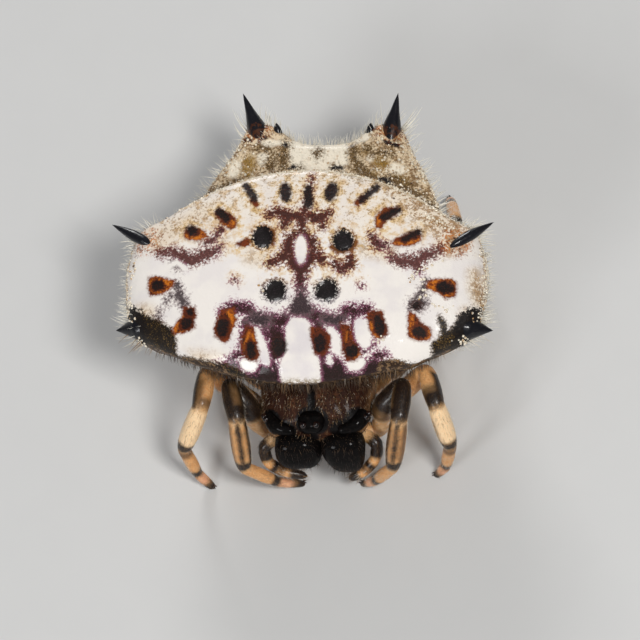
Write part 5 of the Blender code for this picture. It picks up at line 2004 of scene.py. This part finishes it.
@dataclass
class Prosoma(Rounded):
    """Head and chest, with the waist behind and the breastplate below."""

    finishes: Finishes
    coat: Coat
    rings: int = 150
    columns: int = 150
    power: float = 2.3
    waist_start: Point = (0.0, 1.55, 1.90)
    waist_end: Point = (0.0, 2.68, 2.32)
    waist_radius: float = 0.26
    lines: tuple[float, ...] = (0.0, 1.5, 3.1)
    widest_row: float = 5.0
    seam: float = 0.06
    # Spots round the eye tubercle and the corner mounds, bare of hairs and painted black: painted shade where
    # they sit on the carapace.
    bare_shaded_spots: tuple[tuple[Point, float], ...] = (
        ((-0.02, -0.38, 2.55), 0.40), ((0.68, -0.50, 2.32), 0.29), ((1.06, -0.28, 2.34), 0.35),
    )

    def surface(self, places: Array, angles: Array) -> Array:
        """Return points of the head and chest."""
        rows = Track(range(len(PROSOMA_ROWS)), PROSOMA_ROWS).at(places)
        y, half_width, z_middle, z_top, z_bottom = np.moveaxis(rows, -1, 0)
        out, rise = superellipse(angles, np.full_like(angles, self.power))
        z_end = np.where(rise >= 0.0, z_top, z_bottom)
        z = z_middle + (z_end - z_middle) * np.abs(rise)
        return np.stack((half_width * out, np.broadcast_to(y, out.shape), z), axis=-1)

    def build(self) -> None:
        """Make the skin with its coat, the waist and the parts below."""
        last = len(PROSOMA_ROWS) - 1.0
        places = even_places(self.meridians, 0.02, last - 0.02, self.rings)
        angles = even_places(self.section, -math.pi, math.pi, self.columns + 1)[:-1]
        place, angle = np.meshgrid(places, angles, indexing="ij")
        plain = self.surface(place, angle)
        ends = self.surface(np.array((0.0, last)), np.zeros(2))
        x, y = plain[..., 0], plain[..., 1]
        up = np.cos(angle)
        over = step(0.1, 0.4, up)
        line = 0.105 - np.abs(x) - 0.05 * step(0.1, 0.7, y)
        median = np.where((y < 0.75) & (up > 0.0), line, -1.0)
        # Black round the eye tubercle and mounds: painted shade.
        for centre, reach in self.bare_shaded_spots:
            for side in Side:
                away = np.linalg.norm(plain - mirrored(centre, side), axis=-1)
                median = np.maximum(median, reach - away)
        groove = -0.03 * bump(x, 0.0, 0.07) * over * step(-0.3, 0.0, y)
        neck = -0.035 * over * bump(np.abs(x) - 0.35 - 0.45 * (0.9 - y), 0.0, 0.10) * step(-0.4, 0.2, y)
        loft = Loft(turned(plain), place, angle, turned(ends))
        loft.push(groove + neck - SKIN_INSET)
        splay = np.stack((x * 0.25, x * 0.0, x * 0.0), axis=-1)
        lie = loft.normals * 0.42 + np.array((0.05, -1.0, -0.25)) + splay
        bare = 1.0 - 0.96 * step(-0.03, 0.03, median)
        coat = (0.25 + 0.75 * step(-0.35, 0.1, up)) * bare * step(0.03, 0.3, place)
        fields = {
            "median": median,
            "edge": bump(up, 0.05, 0.25),
            "coat": np.where(np.abs(np.abs(angle) - math.pi) < self.seam, 0.0, coat),
            "coat_length": 0.19 - 0.09 * bump(up, 0.1, 0.35),
            "tone": 0.24 + 0.16 * bump(up, 0.15, 0.3) - 0.10 * step(0.0, -0.4, up),
            "lie": lie,
            "root_map": loft.unwrap(),
        }
        skin = loft.piece("prosoma_skin", self.finishes.carapace, fields)
        attach(skin, ("prosoma",))
        self.coat.dress("prosoma_hairs", skin, Slot.BROWN, self.finishes.down, seed=31,
                        Density=1.25e8, Thickness=0.050, Bend=0.20, Scatter=0.42)
        self.build_below()

    def build_below(self) -> None:
        """Make the waist, the breastplate, the lip and the two mouth plates."""
        radius = self.waist_radius
        waist = Limb((self.waist_start, self.waist_end), ((0.0, radius), (0.5, radius * 0.84), (1.0, radius)),
                     ())
        loft = waist.loft()
        loft.push(0.012 * np.cos(loft.place * 40.0))
        plain = {"median": np.full(loft.place.shape, -1.0), "edge": np.zeros(loft.place.shape)}
        attach(loft.piece("waist", self.finishes.carapace, plain))

        def shield(points: Array) -> Array:
            """Narrow a ball to a heart shape that ends in a point at the rear."""
            taper = 1.0 - 0.45 * step(-0.2, 1.0, points[..., 1])
            scale = np.stack((taper, np.ones_like(taper), np.ones_like(taper)), axis=-1)
            return points * scale

        def none(points: Array) -> Array:
            """Return no line at all."""
            return np.full(points.shape[:-1], -1.0)

        def rim(points: Array) -> Array:
            """Return a light rim round a plate."""
            return bump(points[..., 2], 0.0, 0.3)

        marks = {"median": none, "edge": rim}
        plates = [
            ball("breastplate", (0.0, 0.72, 1.10), (0.46, 0.66, 0.09), self.finishes.carapace, 40, 20, shield,
                 marks),
            ball("lip", (0.0, -0.02, 1.13), (0.20, 0.15, 0.10), self.finishes.carapace, 24, 14, None, marks),
        ]
        for side in Side:
            centre = (0.27 * side.value, -0.16, 1.17)
            size = (0.17, 0.21, 0.13)
            plates.append(ball(f"mouth_plate_{side.word}", centre, size, self.finishes.carapace, 24, 14, None,
                               marks))
        attach(join("breastplate", plates))


@dataclass
class Jaws:
    """The two jaw lobes with their fangs and hairs."""

    finishes: Finishes
    coat: Coat
    centre: Point = (0.60, -0.64, 1.58)
    size: Point = (0.50, 0.45, 0.61)
    offset: Point = (0.07, 0.0, 0.0)
    columns: int = 56
    rings: int = 44
    lean: float = math.radians(14.0)
    taper: float = 0.22
    inset: float = 0.012
    power: float = 3.0
    closer: tuple[float, float] = (0.17, 0.08)
    sag: tuple[Point, Point] = ((0.20, 0.10, 0.16), (0.08, 0.0, -0.10))
    fang_path: tuple[Point, ...] = ((0.56, -0.66, 1.05), (0.46, -0.58, 0.93), (0.22, -0.48, 0.98))
    middle_seed: int = 41
    fang_knots: Knots = ((0.0, 0.085), (0.8, 0.06), (1.6, 0.035), (2.0, 0.008))

    def build(self) -> None:
        """Make both lobes, their coats and the fangs."""
        fangs = []
        for side in Side:
            lobe = self.lobe(side)
            attach(lobe, (f"chelicera_{side.word}",))
            seed = self.middle_seed + int(side.value)
            self.coat.dress(f"jaw_hairs_{side.word}", lobe, Slot.JAW, self.finishes.hair, seed,
                            Density=2.2e8, Thickness=0.036, Bend=0.2, Scatter=0.35)
            fangs.append(self.fang(side))
        attach(join("fangs", fangs))

    def lobe(self, side: Side) -> Thing:
        """Return one jaw lobe."""
        size = np.array(self.size) - self.inset
        sphere, tilt, angles = unit_ball(self.columns, self.rings, math.pi / 2.0)
        loft = Loft(self.formed(sphere, size, side), tilt, angles, self.formed(POLES, size, side))
        front = step(0.1, -0.5, sphere[..., 1])
        inner = bump(sphere[..., 0] * side.value, -0.75, 0.25)
        loft.push(-0.02 * inner * front)
        low = step(0.2, -1.0, sphere[..., 2])
        crown = step(0.3, 0.9, sphere[..., 2])
        lie = loft.normals * 0.5 + np.array((0.0, -0.25, -1.0))
        fields = {
            "low": low,
            "coat": (front * (0.35 + 0.4 * low) + step(0.35, 0.8, sphere[..., 2])).clip(0.0, 1.0),
            "coat_length": 0.12 + 0.06 * low + 0.06 * crown,
            "tone": 0.02 + 0.20 * crown + 0.1 * low,
            "lie": lie,
            "root_map": loft.unwrap(),
        }
        return loft.piece(f"jaw_{side.word}", self.finishes.jaw, fields)

    def formed(self, sphere: Array, size: Array, side: Side) -> Array:
        """Return points of a unit ball as points of the jaw lobe."""
        blunt = (np.abs(sphere) ** self.power).sum(axis=-1, keepdims=True) ** (-1.0 / self.power)
        inner = np.maximum(0.0, -sphere[..., 0] * side.value) * self.closer[side.number]
        points = sphere * blunt * size
        points[..., 0] -= inner * side.value
        down = np.maximum(0.0, -sphere[..., 2:3])
        points = points + down * down * np.array(self.sag[side.number])
        slim = 1.0 - self.taper * down
        points = points * np.concatenate((slim, slim, np.ones_like(down)), axis=-1)
        cos, sin = math.cos(-self.lean), math.sin(-self.lean)
        y, z = points[..., 1], points[..., 2]
        points = np.stack((points[..., 0], y * cos - z * sin, y * sin + z * cos), axis=-1)
        return turned(points + mirrored(self.centre, side) + np.array(self.offset))

    def fang(self, side: Side) -> Thing:
        """Return one fang, folded in below its jaw."""
        path = [turned(mirrored(point, side) + np.array(self.offset)) for point in self.fang_path]
        limb = Limb(path, self.fang_knots, (0.1,), sides=14, pace=0.015)
        return limb.loft().piece(f"fang_{side.word}", self.finishes.horn, {})


@dataclass
class Eyes:
    """The middle tubercle with its four eyes, and a pair on each corner mound."""

    finishes: Finishes
    tubercle: Point = (-0.02, -0.38, 2.55)
    tubercle_size: Point = (0.34, 0.31, 0.27)
    lens: float = 0.085
    median_places: tuple[tuple[str, float, float, float], ...] = (("front", -0.15, 0.05, 1.0),
                                                                  ("rear", 0.08, 0.10, 0.9))
    mound_shift: Point = (0.08, 0.0, 0.0)
    mound_path: tuple[Point, ...] = (
        (0.54, -0.55, 2.39), (0.82, -0.47, 2.39), (1.02, -0.33, 2.37), (1.19, -0.02, 2.33),
    )
    mound_knots: Knots = (
        (0.0, 0.03), (0.12, 0.085), (0.4, 0.115), (1.0, 0.15), (2.0, 0.19), (2.7, 0.19), (2.94, 0.11),
        (3.0, 0.03),
    )
    lateral_line: tuple[Point, Point] = ((1.02, -0.33, 2.37), (1.17, -0.08, 2.33))
    lateral_shift: Point = (0.10, -0.05, 0.11)
    lateral_shares: tuple[float, float] = (0.62, 0.96)

    def build(self) -> None:
        """Make the dark mounds and the glossy lenses."""
        def creased(points: Array) -> Array:
            """Pinch the tubercle between its four eyes."""
            pinch = 1.0 - 0.10 * bump(points[..., 0:1], 0.0, 0.25) - 0.06 * bump(points[..., 1:2], -0.2, 0.25)
            return points * pinch

        marks = {"low": lambda points: np.zeros(points.shape[:-1])}
        hump = ball("eye_tubercle_skin", self.tubercle, self.tubercle_size, self.finishes.jaw, 48, 28,
                    creased, marks)
        attach(hump, ("eye_tubercle",))
        lenses = []
        for side in Side:
            for name, forward, drop, size in self.median_places:
                lift = self.tubercle_size[2] - drop - 0.03
                centre = np.array(self.tubercle) + (side.value * 0.16, forward - 0.02, lift)
                radius = (self.lens * size,) * 3
                lenses.append(ball(f"lens_{name}_{side.word}", centre, radius, self.finishes.lens, 28, 18))
            lenses.extend(self.mound(side))
        attach(join("eye_lenses", lenses))

    def mound(self, side: Side) -> list[Thing]:
        """Make one corner mound and return its two lenses."""
        shift = np.array(self.mound_shift)
        path = [turned(mirrored(point, side) + shift) for point in self.mound_path]
        loft = Limb(path, self.mound_knots, (0.09, 0.09), sides=32, pace=0.02, outward=side).loft()
        fields = {"low": np.zeros(loft.place.shape)}
        skin = loft.piece(f"eye_mound_skin_{side.word}", self.finishes.jaw, fields)
        attach(skin, (f"eye_mound_{side.word}",))
        lenses = []
        start, end = np.array(self.lateral_line)
        for share in self.lateral_shares:
            centre = start + (end - start) * share + np.array(self.lateral_shift)
            place = mirrored(centre, side) + shift
            lenses.append(ball(f"lens_{share}_{side.word}", place, (self.lens,) * 3, self.finishes.lens,
                               24, 16))
        return lenses


# Limbs


@dataclass(frozen=True)
class Band:
    """A dark, brown or light band on a limb.

    `start` and `end` are places counted in segments. `centre` and `spread` give the
    angle it lies at and how far it reaches, in degrees, and None goes all round.
    """

    kind: str
    start: float
    end: float
    centre: float | None = None
    spread: float = 60.0


LEG_KNOTS = (
    (0.0, 0.19), (0.72, 0.20), (1.0, 0.20), (1.22, 0.235), (1.6, 0.243), (1.88, 0.225), (2.02, 0.20),
    (2.2, 0.225), (2.5, 0.24), (2.8, 0.225), (3.0, 0.205), (3.2, 0.225), (3.55, 0.235), (3.85, 0.205),
    (4.0, 0.165), (4.12, 0.155), (4.5, 0.158), (4.85, 0.138), (5.0, 0.118), (5.15, 0.126), (5.6, 0.115),
    (5.9, 0.10), (6.0, 0.088),
)
LEG_BENDS = (0.14, 0.15, 0.15, 0.12, 0.10)
FEMUR_BOWS = {"leg_1_left": (0.13, -0.17, 0.12), "leg_1_right": (-0.20, -0.14, 0.08)}
FEMUR_SWELL = 1.14

LEGS = {
    "leg_1_left": ((-0.45, 0.05, 1.30), (-1.16, 0.03, 1.20), (-1.87, 0.55, 2.72),
                   (-1.63, -0.34, 2.66), (-1.61, -0.99, 1.30), (-0.94, -0.93, 0.40), (-0.42, -0.79, 0.0)),
    "leg_1_right": ((0.85, 0.05, 1.30), (1.57, 0.05, 1.20), (2.36, 0.56, 2.72),
                    (2.33, -0.33, 2.66), (2.02, -0.97, 1.30), (1.46, -0.89, 0.40), (1.10, -0.78, 0.0)),
    "leg_2_left": ((-0.50, 0.62, 1.28), (-1.36, 0.70, 1.15), (-2.44, 0.90, 2.70),
                   (-2.54, -0.04, 2.64), (-3.11, -0.54, 1.40), (-2.91, -0.72, 0.40), (-2.62, -0.86, 0.0)),
    "leg_2_right": ((0.85, 0.62, 1.28), (1.72, 0.72, 1.15), (2.90, 0.92, 2.70),
                    (3.20, 0.04, 2.64), (3.40, -0.45, 1.40), (3.15, -0.50, 0.40), (2.88, -0.54, 0.0)),
    "leg_3_left": ((-0.50, 1.14, 1.28), (-1.24, 1.30, 1.12), (-2.00, 1.62, 1.90),
                   (-2.42, 1.66, 1.78), (-2.72, 1.90, 0.95), (-2.78, 2.10, 0.32), (-2.66, 2.25, 0.0)),
    "leg_3_right": ((0.75, 1.14, 1.28), (1.54, 1.30, 1.12), (2.20, 1.62, 1.90),
                    (2.50, 1.84, 1.80), (2.58, 2.32, 1.04), (2.60, 2.58, 0.34), (2.50, 2.76, 0.0)),
    "leg_4_left": ((-0.35, 1.58, 1.34), (-0.95, 1.86, 1.10), (-2.50, 3.20, 1.32),
                   (-2.76, 3.92, 1.46), (-2.62, 5.26, 1.38), (-2.30, 6.20, 0.48), (-2.20, 6.52, 0.0)),
    "leg_4_right": ((0.50, 1.58, 1.34), (1.15, 1.86, 1.10), (2.90, 3.20, 1.42),
                    (3.32, 3.94, 1.66), (3.12, 5.50, 1.70), (2.78, 6.50, 0.58), (2.64, 6.86, 0.0)),
}

COMMON_BANDS = (
    Band("dark", 3.82, 3.98),
    Band("dark", 4.80, 5.02),
    Band("dark", 5.72, 6.0),
    Band("brown", 5.55, 6.0),
    Band("warm", 4.0, 4.9),
    Band("rose", 4.95, 5.7),
)
LEG_BANDS: dict[str, tuple[Band, ...]] = {
    "leg_1_left": (
        Band("brown", 1.46, 2.15, 30.0, 90.0), Band("dark", 1.50, 1.90, 10.0, 62.0), Band("brown", 2.0, 3.0),
        Band("dark", 2.02, 2.98, 70.0, 70.0), Band("dark", 2.02, 2.98, -95.0, 45.0), Band("dark", 2.72, 2.99),
        Band("warm", 2.40, 2.72, -10.0, 26.0), Band("warm", 3.1, 3.8),
        Band("dark", 3.04, 3.9, 2.0, 12.0), Band("dark", 3.04, 3.9, -64.0, 16.0),
        Band("brown", 3.04, 3.9, 75.0, 22.0),
    ),
    "leg_1_right": (
        Band("brown", 1.46, 2.15, 40.0, 100.0), Band("brown", 2.0, 3.0), Band("dark", 2.02, 2.99, 40.0, 95.0),
        Band("dark", 2.75, 2.99), Band("dark", 1.62, 2.0, 20.0, 80.0),
        Band("warm", 3.1, 3.8), Band("dark", 3.04, 3.9, -62.0, 12.0), Band("dark", 3.04, 3.9, -6.0, 12.0),
        Band("brown", 3.04, 3.9, 55.0, 26.0),
    ),
    "leg_2_left": (
        Band("warm", 1.6, 2.9), Band("dark", 2.12, 2.98, 74.0, 30.0), Band("brown", 2.30, 2.98, 60.0, 62.0),
        Band("brown", 2.78, 2.98), Band("pale", 3.02, 3.84), Band("brown", 4.0, 4.2),
    ),
    "leg_2_right": (
        Band("warm", 1.6, 2.5), Band("dark", 2.18, 2.98, 62.0, 34.0), Band("dark", 2.72, 2.98, 20.0, 90.0),
        Band("brown", 2.5, 2.98), Band("pale", 3.02, 3.84),
        Band("brown", 3.3, 3.85, -70.0, 9.0), Band("brown", 4.0, 4.2),
    ),
    "leg_3": (Band("dark", 2.5, 2.98), Band("brown", 1.5, 2.0), Band("pale", 3.05, 3.6)),
    "leg_4": (
        Band("dark", 1.72, 2.0), Band("dark", 2.6, 2.98), Band("pale", 1.15, 1.6), Band("pale", 3.1, 3.5),
        Band("dark", 3.55, 3.75),
    ),
}


def limb_fields(limb: Limb, loft: Loft, bands: Sequence[Band], radius: float,
                lift: float) -> dict[str, Array]:
    """Return the depth of every kind of band on a limb's skin, and how its coat lies.

    Args:
        limb: the limb.
        loft: its skin.
        bands: the bands on it.
        radius: a usual radius, which turns angles to lengths.
        lift: how far the hairs stand off the skin.

    Returns:
        Depths in millimetres for dark and brown, shares from 0 to 1 for the other bands,
        and the coat's lie and map.
    """
    lengths = [math.dist(a, b) for a, b in zip(limb.joints, limb.joints[1:])]
    ends = np.concatenate(((0.0,), np.cumsum(lengths)))
    along = np.interp(loft.place, np.arange(len(ends)), ends)
    fields = {kind: np.full(loft.place.shape, -1.0) for kind in ("dark", "brown", "pale", "warm", "rose")}
    for band in bands:
        start, end = np.interp((band.start, band.end), np.arange(len(ends)), ends)
        depth = np.minimum(along - start, end - along)
        if band.centre is not None:
            turn = np.abs((np.degrees(loft.angle) - band.centre + 180.0) % 360.0 - 180.0)
            depth = np.minimum(depth, np.radians(band.spread - turn) * radius)
        fields[band.kind] = np.maximum(fields[band.kind], depth)
    for kind in ("pale", "warm", "rose"):
        fields[kind] = step(-0.08, 0.10, fields[kind])
    fields["lie"] = loft.normals * lift + np.broadcast_to(limb.ways[:, None], loft.grid.shape) * 0.8
    fields["root_map"] = loft.unwrap()
    return fields


@dataclass
class Legs:
    """The eight folded legs, each one skin from hip to sole, with hairs and claws."""

    finishes: Finishes
    coat: Coat
    third_leg: float = 0.92
    seam: float = 3.0
    usual_radius: float = 0.22
    lift: float = 0.62
    foot_points: int = 18
    first_seed: int = 60
    claw_knots: Knots = ((0.0, 0.020), (1.0, 0.015), (2.0, 0.003))

    def build(self) -> None:
        """Make every leg, then the hairs and the claws."""
        claws = []
        for number, (name, joints) in enumerate(LEGS.items()):
            side = Side.LEFT if name.endswith("left") else Side.RIGHT
            skin, limb = self.leg(name, joints, side)
            attach(skin, [f"{name}_{part}" for part in ("femur", "tibia", "foot")])
            seed = self.first_seed + number
            self.coat.dress(f"{name}_hairs", skin, Slot.LEG, self.finishes.hair, seed,
                            Density=1.9e8, Thickness=0.028, Bend=0.22, Scatter=0.30)
            claws.extend(self.claws(name, limb))
        attach(join("claws", claws))

    def leg(self, name: str, joints: Sequence, side: Side) -> tuple[Thing, Limb]:
        """Return one leg's skin and the limb that it follows."""
        scale = self.third_leg if name.startswith("leg_3") else 1.0
        bow = FEMUR_BOWS.get(name, (0.0, 0.0, 0.0))
        swell = FEMUR_SWELL if any(bow) else 1.0
        knots = [(place, radius * scale * (swell if 1.0 < place < 1.9 else 1.0))
                 for place, radius in LEG_KNOTS]
        limb = Limb(joints, knots, LEG_BENDS, sole=True, outward=side, bow=bow)
        loft = limb.loft()
        bands = LEG_BANDS.get(name, ()) + LEG_BANDS.get(name[:5], ()) + COMMON_BANDS
        fields = limb_fields(limb, loft, bands, self.usual_radius, self.lift)
        fields["pale"] = fields["pale"] * (1.0 - step(-0.05, 0.05, fields["dark"]))
        sleeve = step(0.9, 1.2, loft.place) * step(5.98, 5.8, loft.place)
        fields["coat"] = sleeve * np.where(np.abs(loft.angle) > self.seam, 0.0, 1.0)
        fields["coat_length"] = 0.09 + 0.06 * np.sin(loft.place * 7.0 + loft.angle * 5.0) ** 6
        averted = step(0.7, 0.2, loft.normals @ CHART_LOOK)
        shade = step(-0.05, 0.1, np.maximum(fields["dark"], fields["brown"]))
        fields["tone"] = 0.55 + 0.40 * averted - 0.35 * shade * (1.0 - 0.6 * averted)
        return loft.piece(f"{name}_skin", self.finishes.limb, fields), limb

    def claws(self, name: str, limb: Limb) -> list[Thing]:
        """Return the two small claws at the tip of a leg."""
        sole = limb.centres[-1]
        ahead = unit((sole - limb.centres[-self.foot_points]) * np.array((1.0, 1.0, 0.0)))
        across = np.array((-ahead[1], ahead[0], 0.0))
        items = []
        for side in Side:
            root = sole + ahead * 0.05 + across * 0.03 * side.value + np.array((0.0, 0.0, 0.065))
            middle = root + ahead * 0.055 + np.array((0.0, 0.0, 0.004))
            tip = middle + ahead * 0.025 + np.array((0.0, 0.0, -0.045))
            claw = Limb((root, middle, tip), self.claw_knots, (0.015,), sides=8, pace=0.012)
            items.append(claw.loft().piece(f"{name}_claw_{side.word}", self.finishes.horn, {}))
        return items


PALPS = {
    Side.LEFT: ((-0.50, -0.15, 1.40), (-0.95, -0.38, 1.55), (-1.16, -0.52, 1.42),
                (-1.10, -0.72, 1.05), (-0.75, -0.84, 0.78), (-0.18, -0.88, 0.60)),
    Side.RIGHT: ((0.95, -0.05, 1.40), (1.42, -0.25, 1.50), (1.62, -0.42, 1.40),
                 (1.54, -0.62, 1.05), (1.24, -0.84, 0.78), (0.84, -0.95, 0.60)),
}


@dataclass
class Palps:
    """The two feelers that curl round the jaws."""

    finishes: Finishes
    coat: Coat
    bands: tuple[Band, ...] = (
        Band("dark", 1.3, 2.75), Band("warm", 2.8, 4.4), Band("dark", 3.30, 3.62), Band("dark", 4.32, 5.0),
        Band("brown", 3.62, 3.95),
    )
    knots: Knots = (
        (0.0, 0.14), (1.0, 0.155), (1.8, 0.16), (2.1, 0.14), (2.5, 0.152), (3.0, 0.135), (3.4, 0.14),
        (4.0, 0.125), (4.5, 0.12), (4.85, 0.085), (5.0, 0.02),
    )
    bends: tuple[float, ...] = (0.14, 0.12, 0.14, 0.14)
    seam: float = 3.0
    usual_radius: float = 0.14
    lift: float = 0.6
    first_seed: int = 80

    def build(self) -> None:
        """Make both feelers with their hairs."""
        for number, (side, joints) in enumerate(PALPS.items()):
            limb = Limb(joints, self.knots, self.bends, outward=side, pace=0.02)
            loft = limb.loft()
            fields = limb_fields(limb, loft, self.bands, self.usual_radius, self.lift)
            clear = np.where(np.abs(loft.angle) > self.seam, 0.0, 1.0)
            fields["coat"] = clear * step(0.8, 1.2, loft.place)
            fields["coat_length"] = 0.09 + 0.05 * step(3.0, 5.0, loft.place)
            fields["tone"] = 0.8 - 0.4 * step(-0.05, 0.1, fields["dark"])
            skin = loft.piece(f"pedipalp_{side.word}_skin", self.finishes.limb, fields)
            attach(skin, (f"pedipalp_{side.word}",))
            seed = self.first_seed + number
            self.coat.dress(f"pedipalp_{side.word}_hairs", skin, Slot.LEG, self.finishes.hair, seed,
                            Density=1.6e8, Thickness=0.040, Bend=0.22, Scatter=0.28)


@dataclass
class Spinnerets:
    """The cluster of spinnerets under the abdomen: two pairs, a small pair and a tip."""

    finishes: Finishes
    centre: Point = (0.0, 4.25, 1.22)
    collar: float = 0.33
    pairs: tuple[tuple[str, float, float, float, float], ...] = (
        # name, x, y, reach, radius
        ("front", 0.13, -0.12, -0.36, 0.115),
        ("rear", 0.12, 0.14, -0.32, 0.10),
        ("middle", 0.05, 0.02, -0.27, 0.05),
    )

    def build(self) -> None:
        """Make the collar and the cones, joined to one piece."""
        items = [self.cone("collar", (0.0, 0.0, 0.25), (0.0, 0.0, -0.14),
                           ((0.0, self.collar), (0.6, self.collar), (1.0, 0.26)))]
        for side in Side:
            for name, x, y, reach, radius in self.pairs:
                start = (x * side.value, y, -0.02)
                end = (x * 0.7 * side.value, y * 0.75, reach)
                knots = ((0.0, radius), (0.45, radius * 0.96), (0.55, radius * 0.84), (0.85, radius * 0.62),
                         (1.0, radius * 0.28))
                items.append(self.cone(f"{name}_{side.word}", start, end, knots))
        knots = ((0.0, 0.10), (0.6, 0.085), (0.9, 0.05), (1.0, 0.012))
        items.append(self.cone("hind_lobe", (0.0, 0.24, 0.02), (0.0, 0.30, -0.18), knots))
        attach(join("spinneret_cones", items), ("spinnerets",))

    def cone(self, name: str, start: Sequence[float], end: Sequence[float], knots: Knots) -> Thing:
        """Return one closed cone of the cluster."""
        path = [np.array(self.centre) + np.array(point) for point in (start, end)]
        loft = Limb(path, knots, (), sides=24, pace=0.012).loft()
        return loft.piece(name, self.finishes.carapace, {
            "median": np.full(loft.place.shape, -1.0), "edge": step(0.5, 0.9, loft.place),
        })


# Studio


@dataclass
class Studio:
    """The pale floor, the soft lights and the camera at the model's viewing angle."""

    target: Point = (0.4415, 1.686, 3.9)
    view_width: float = 15.35
    distance: float = 400.0
    sensor: float = 36.0
    floor_half: float = 400.0

    def build(self) -> None:
        """Make the floor, the world, the lights and the camera."""
        bpy.context.scene.view_settings.view_transform = "Standard"
        self.floor()
        self.world()
        aim = Vector(to_frame(self.target))
        self.light("key", (62.0, -50.0, 125.0), size=36.0, power=0.146, aim=aim, tint=(1.0, 0.985, 0.96))
        self.light("fill", (-70.0, -115.0, 78.0), size=46.0, power=0.085, aim=aim, tint=(0.97, 0.985, 1.0))
        self.light("rear", (-40.0, 140.0, 66.0), size=50.0, power=0.110, aim=aim, tint=(1.0, 1.0, 1.0))
        self.camera()

    def floor(self) -> None:
        """Make the floor."""
        half = self.floor_half * MM
        mesh = bpy.data.meshes.new("floor")
        mesh.from_pydata([(-half, -half, 0.0), (half, -half, 0.0), (half, half, 0.0), (-half, half, 0.0)], [],
                         [(0, 1, 2, 3)])
        mesh.materials.append(FloorFinish().build())
        item = bpy.data.objects.new("floor", mesh)
        bpy.context.scene.collection.objects.link(item)

    def world(self) -> None:
        """Make the pale surroundings."""
        world = bpy.data.worlds.new("studio")
        world.use_nodes = True
        background = world.node_tree.nodes["Background"]
        background.inputs["Color"].default_value = (0.95, 0.97, 1.0, 1.0)
        background.inputs["Strength"].default_value = 0.15
        bpy.context.scene.world = world

    def light(self, name: str, place: Sequence[float], size: float, power: float, aim: Vector,
              tint: Colour) -> None:
        """Add one soft light.

        Args:
            name: the light's name.
            place: where it stands, in millimetres.
            size: the side of its square, in millimetres.
            power: its power in watts.
            aim: the point that it faces, in metres.
            tint: its colour.
        """
        data = bpy.data.lights.new(name, "AREA")
        data.shape = "SQUARE"
        data.size = size * MM
        data.energy = power
        data.color = tint
        item = bpy.data.objects.new(name, data)
        item.location = Vector(to_frame(place))
        item.rotation_euler = (aim - item.location).to_track_quat("-Z", "Y").to_euler()
        bpy.context.scene.collection.objects.link(item)

    def camera(self) -> None:
        """Add the camera."""
        data = bpy.data.cameras.new("view")
        data.sensor_width = self.sensor
        data.lens = self.sensor * self.distance / self.view_width
        data.clip_start = 0.001
        data.clip_end = 10.0
        item = bpy.data.objects.new("view", data)
        look = Vector(CHART_LOOK)
        right = (Vector((1.0, 0.0, 0.0)) - look * look.x).normalized()
        up = look.cross(right)
        aim = Vector(to_frame(self.target))
        turn = Matrix((right, up, look)).transposed().to_4x4()
        item.matrix_world = Matrix.Translation(aim + look * self.distance * MM) @ turn
        bpy.context.scene.collection.objects.link(item)
        bpy.context.scene.camera = item


def main() -> None:
    """Build the studio and every piece of the spider, in order."""
    logging.basicConfig(level=logging.INFO, format="%(message)s")
    Studio().build()
    finishes = Finishes()
    coat = Coat()
    Abdomen(finishes, coat, Beads()).build()
    Spinnerets(finishes).build()
    Prosoma(finishes, coat).build()
    Jaws(finishes, coat).build()
    Eyes(finishes).build()
    Palps(finishes, coat).build()
    Legs(finishes, coat).build()


if __name__ == "__main__":
    main()
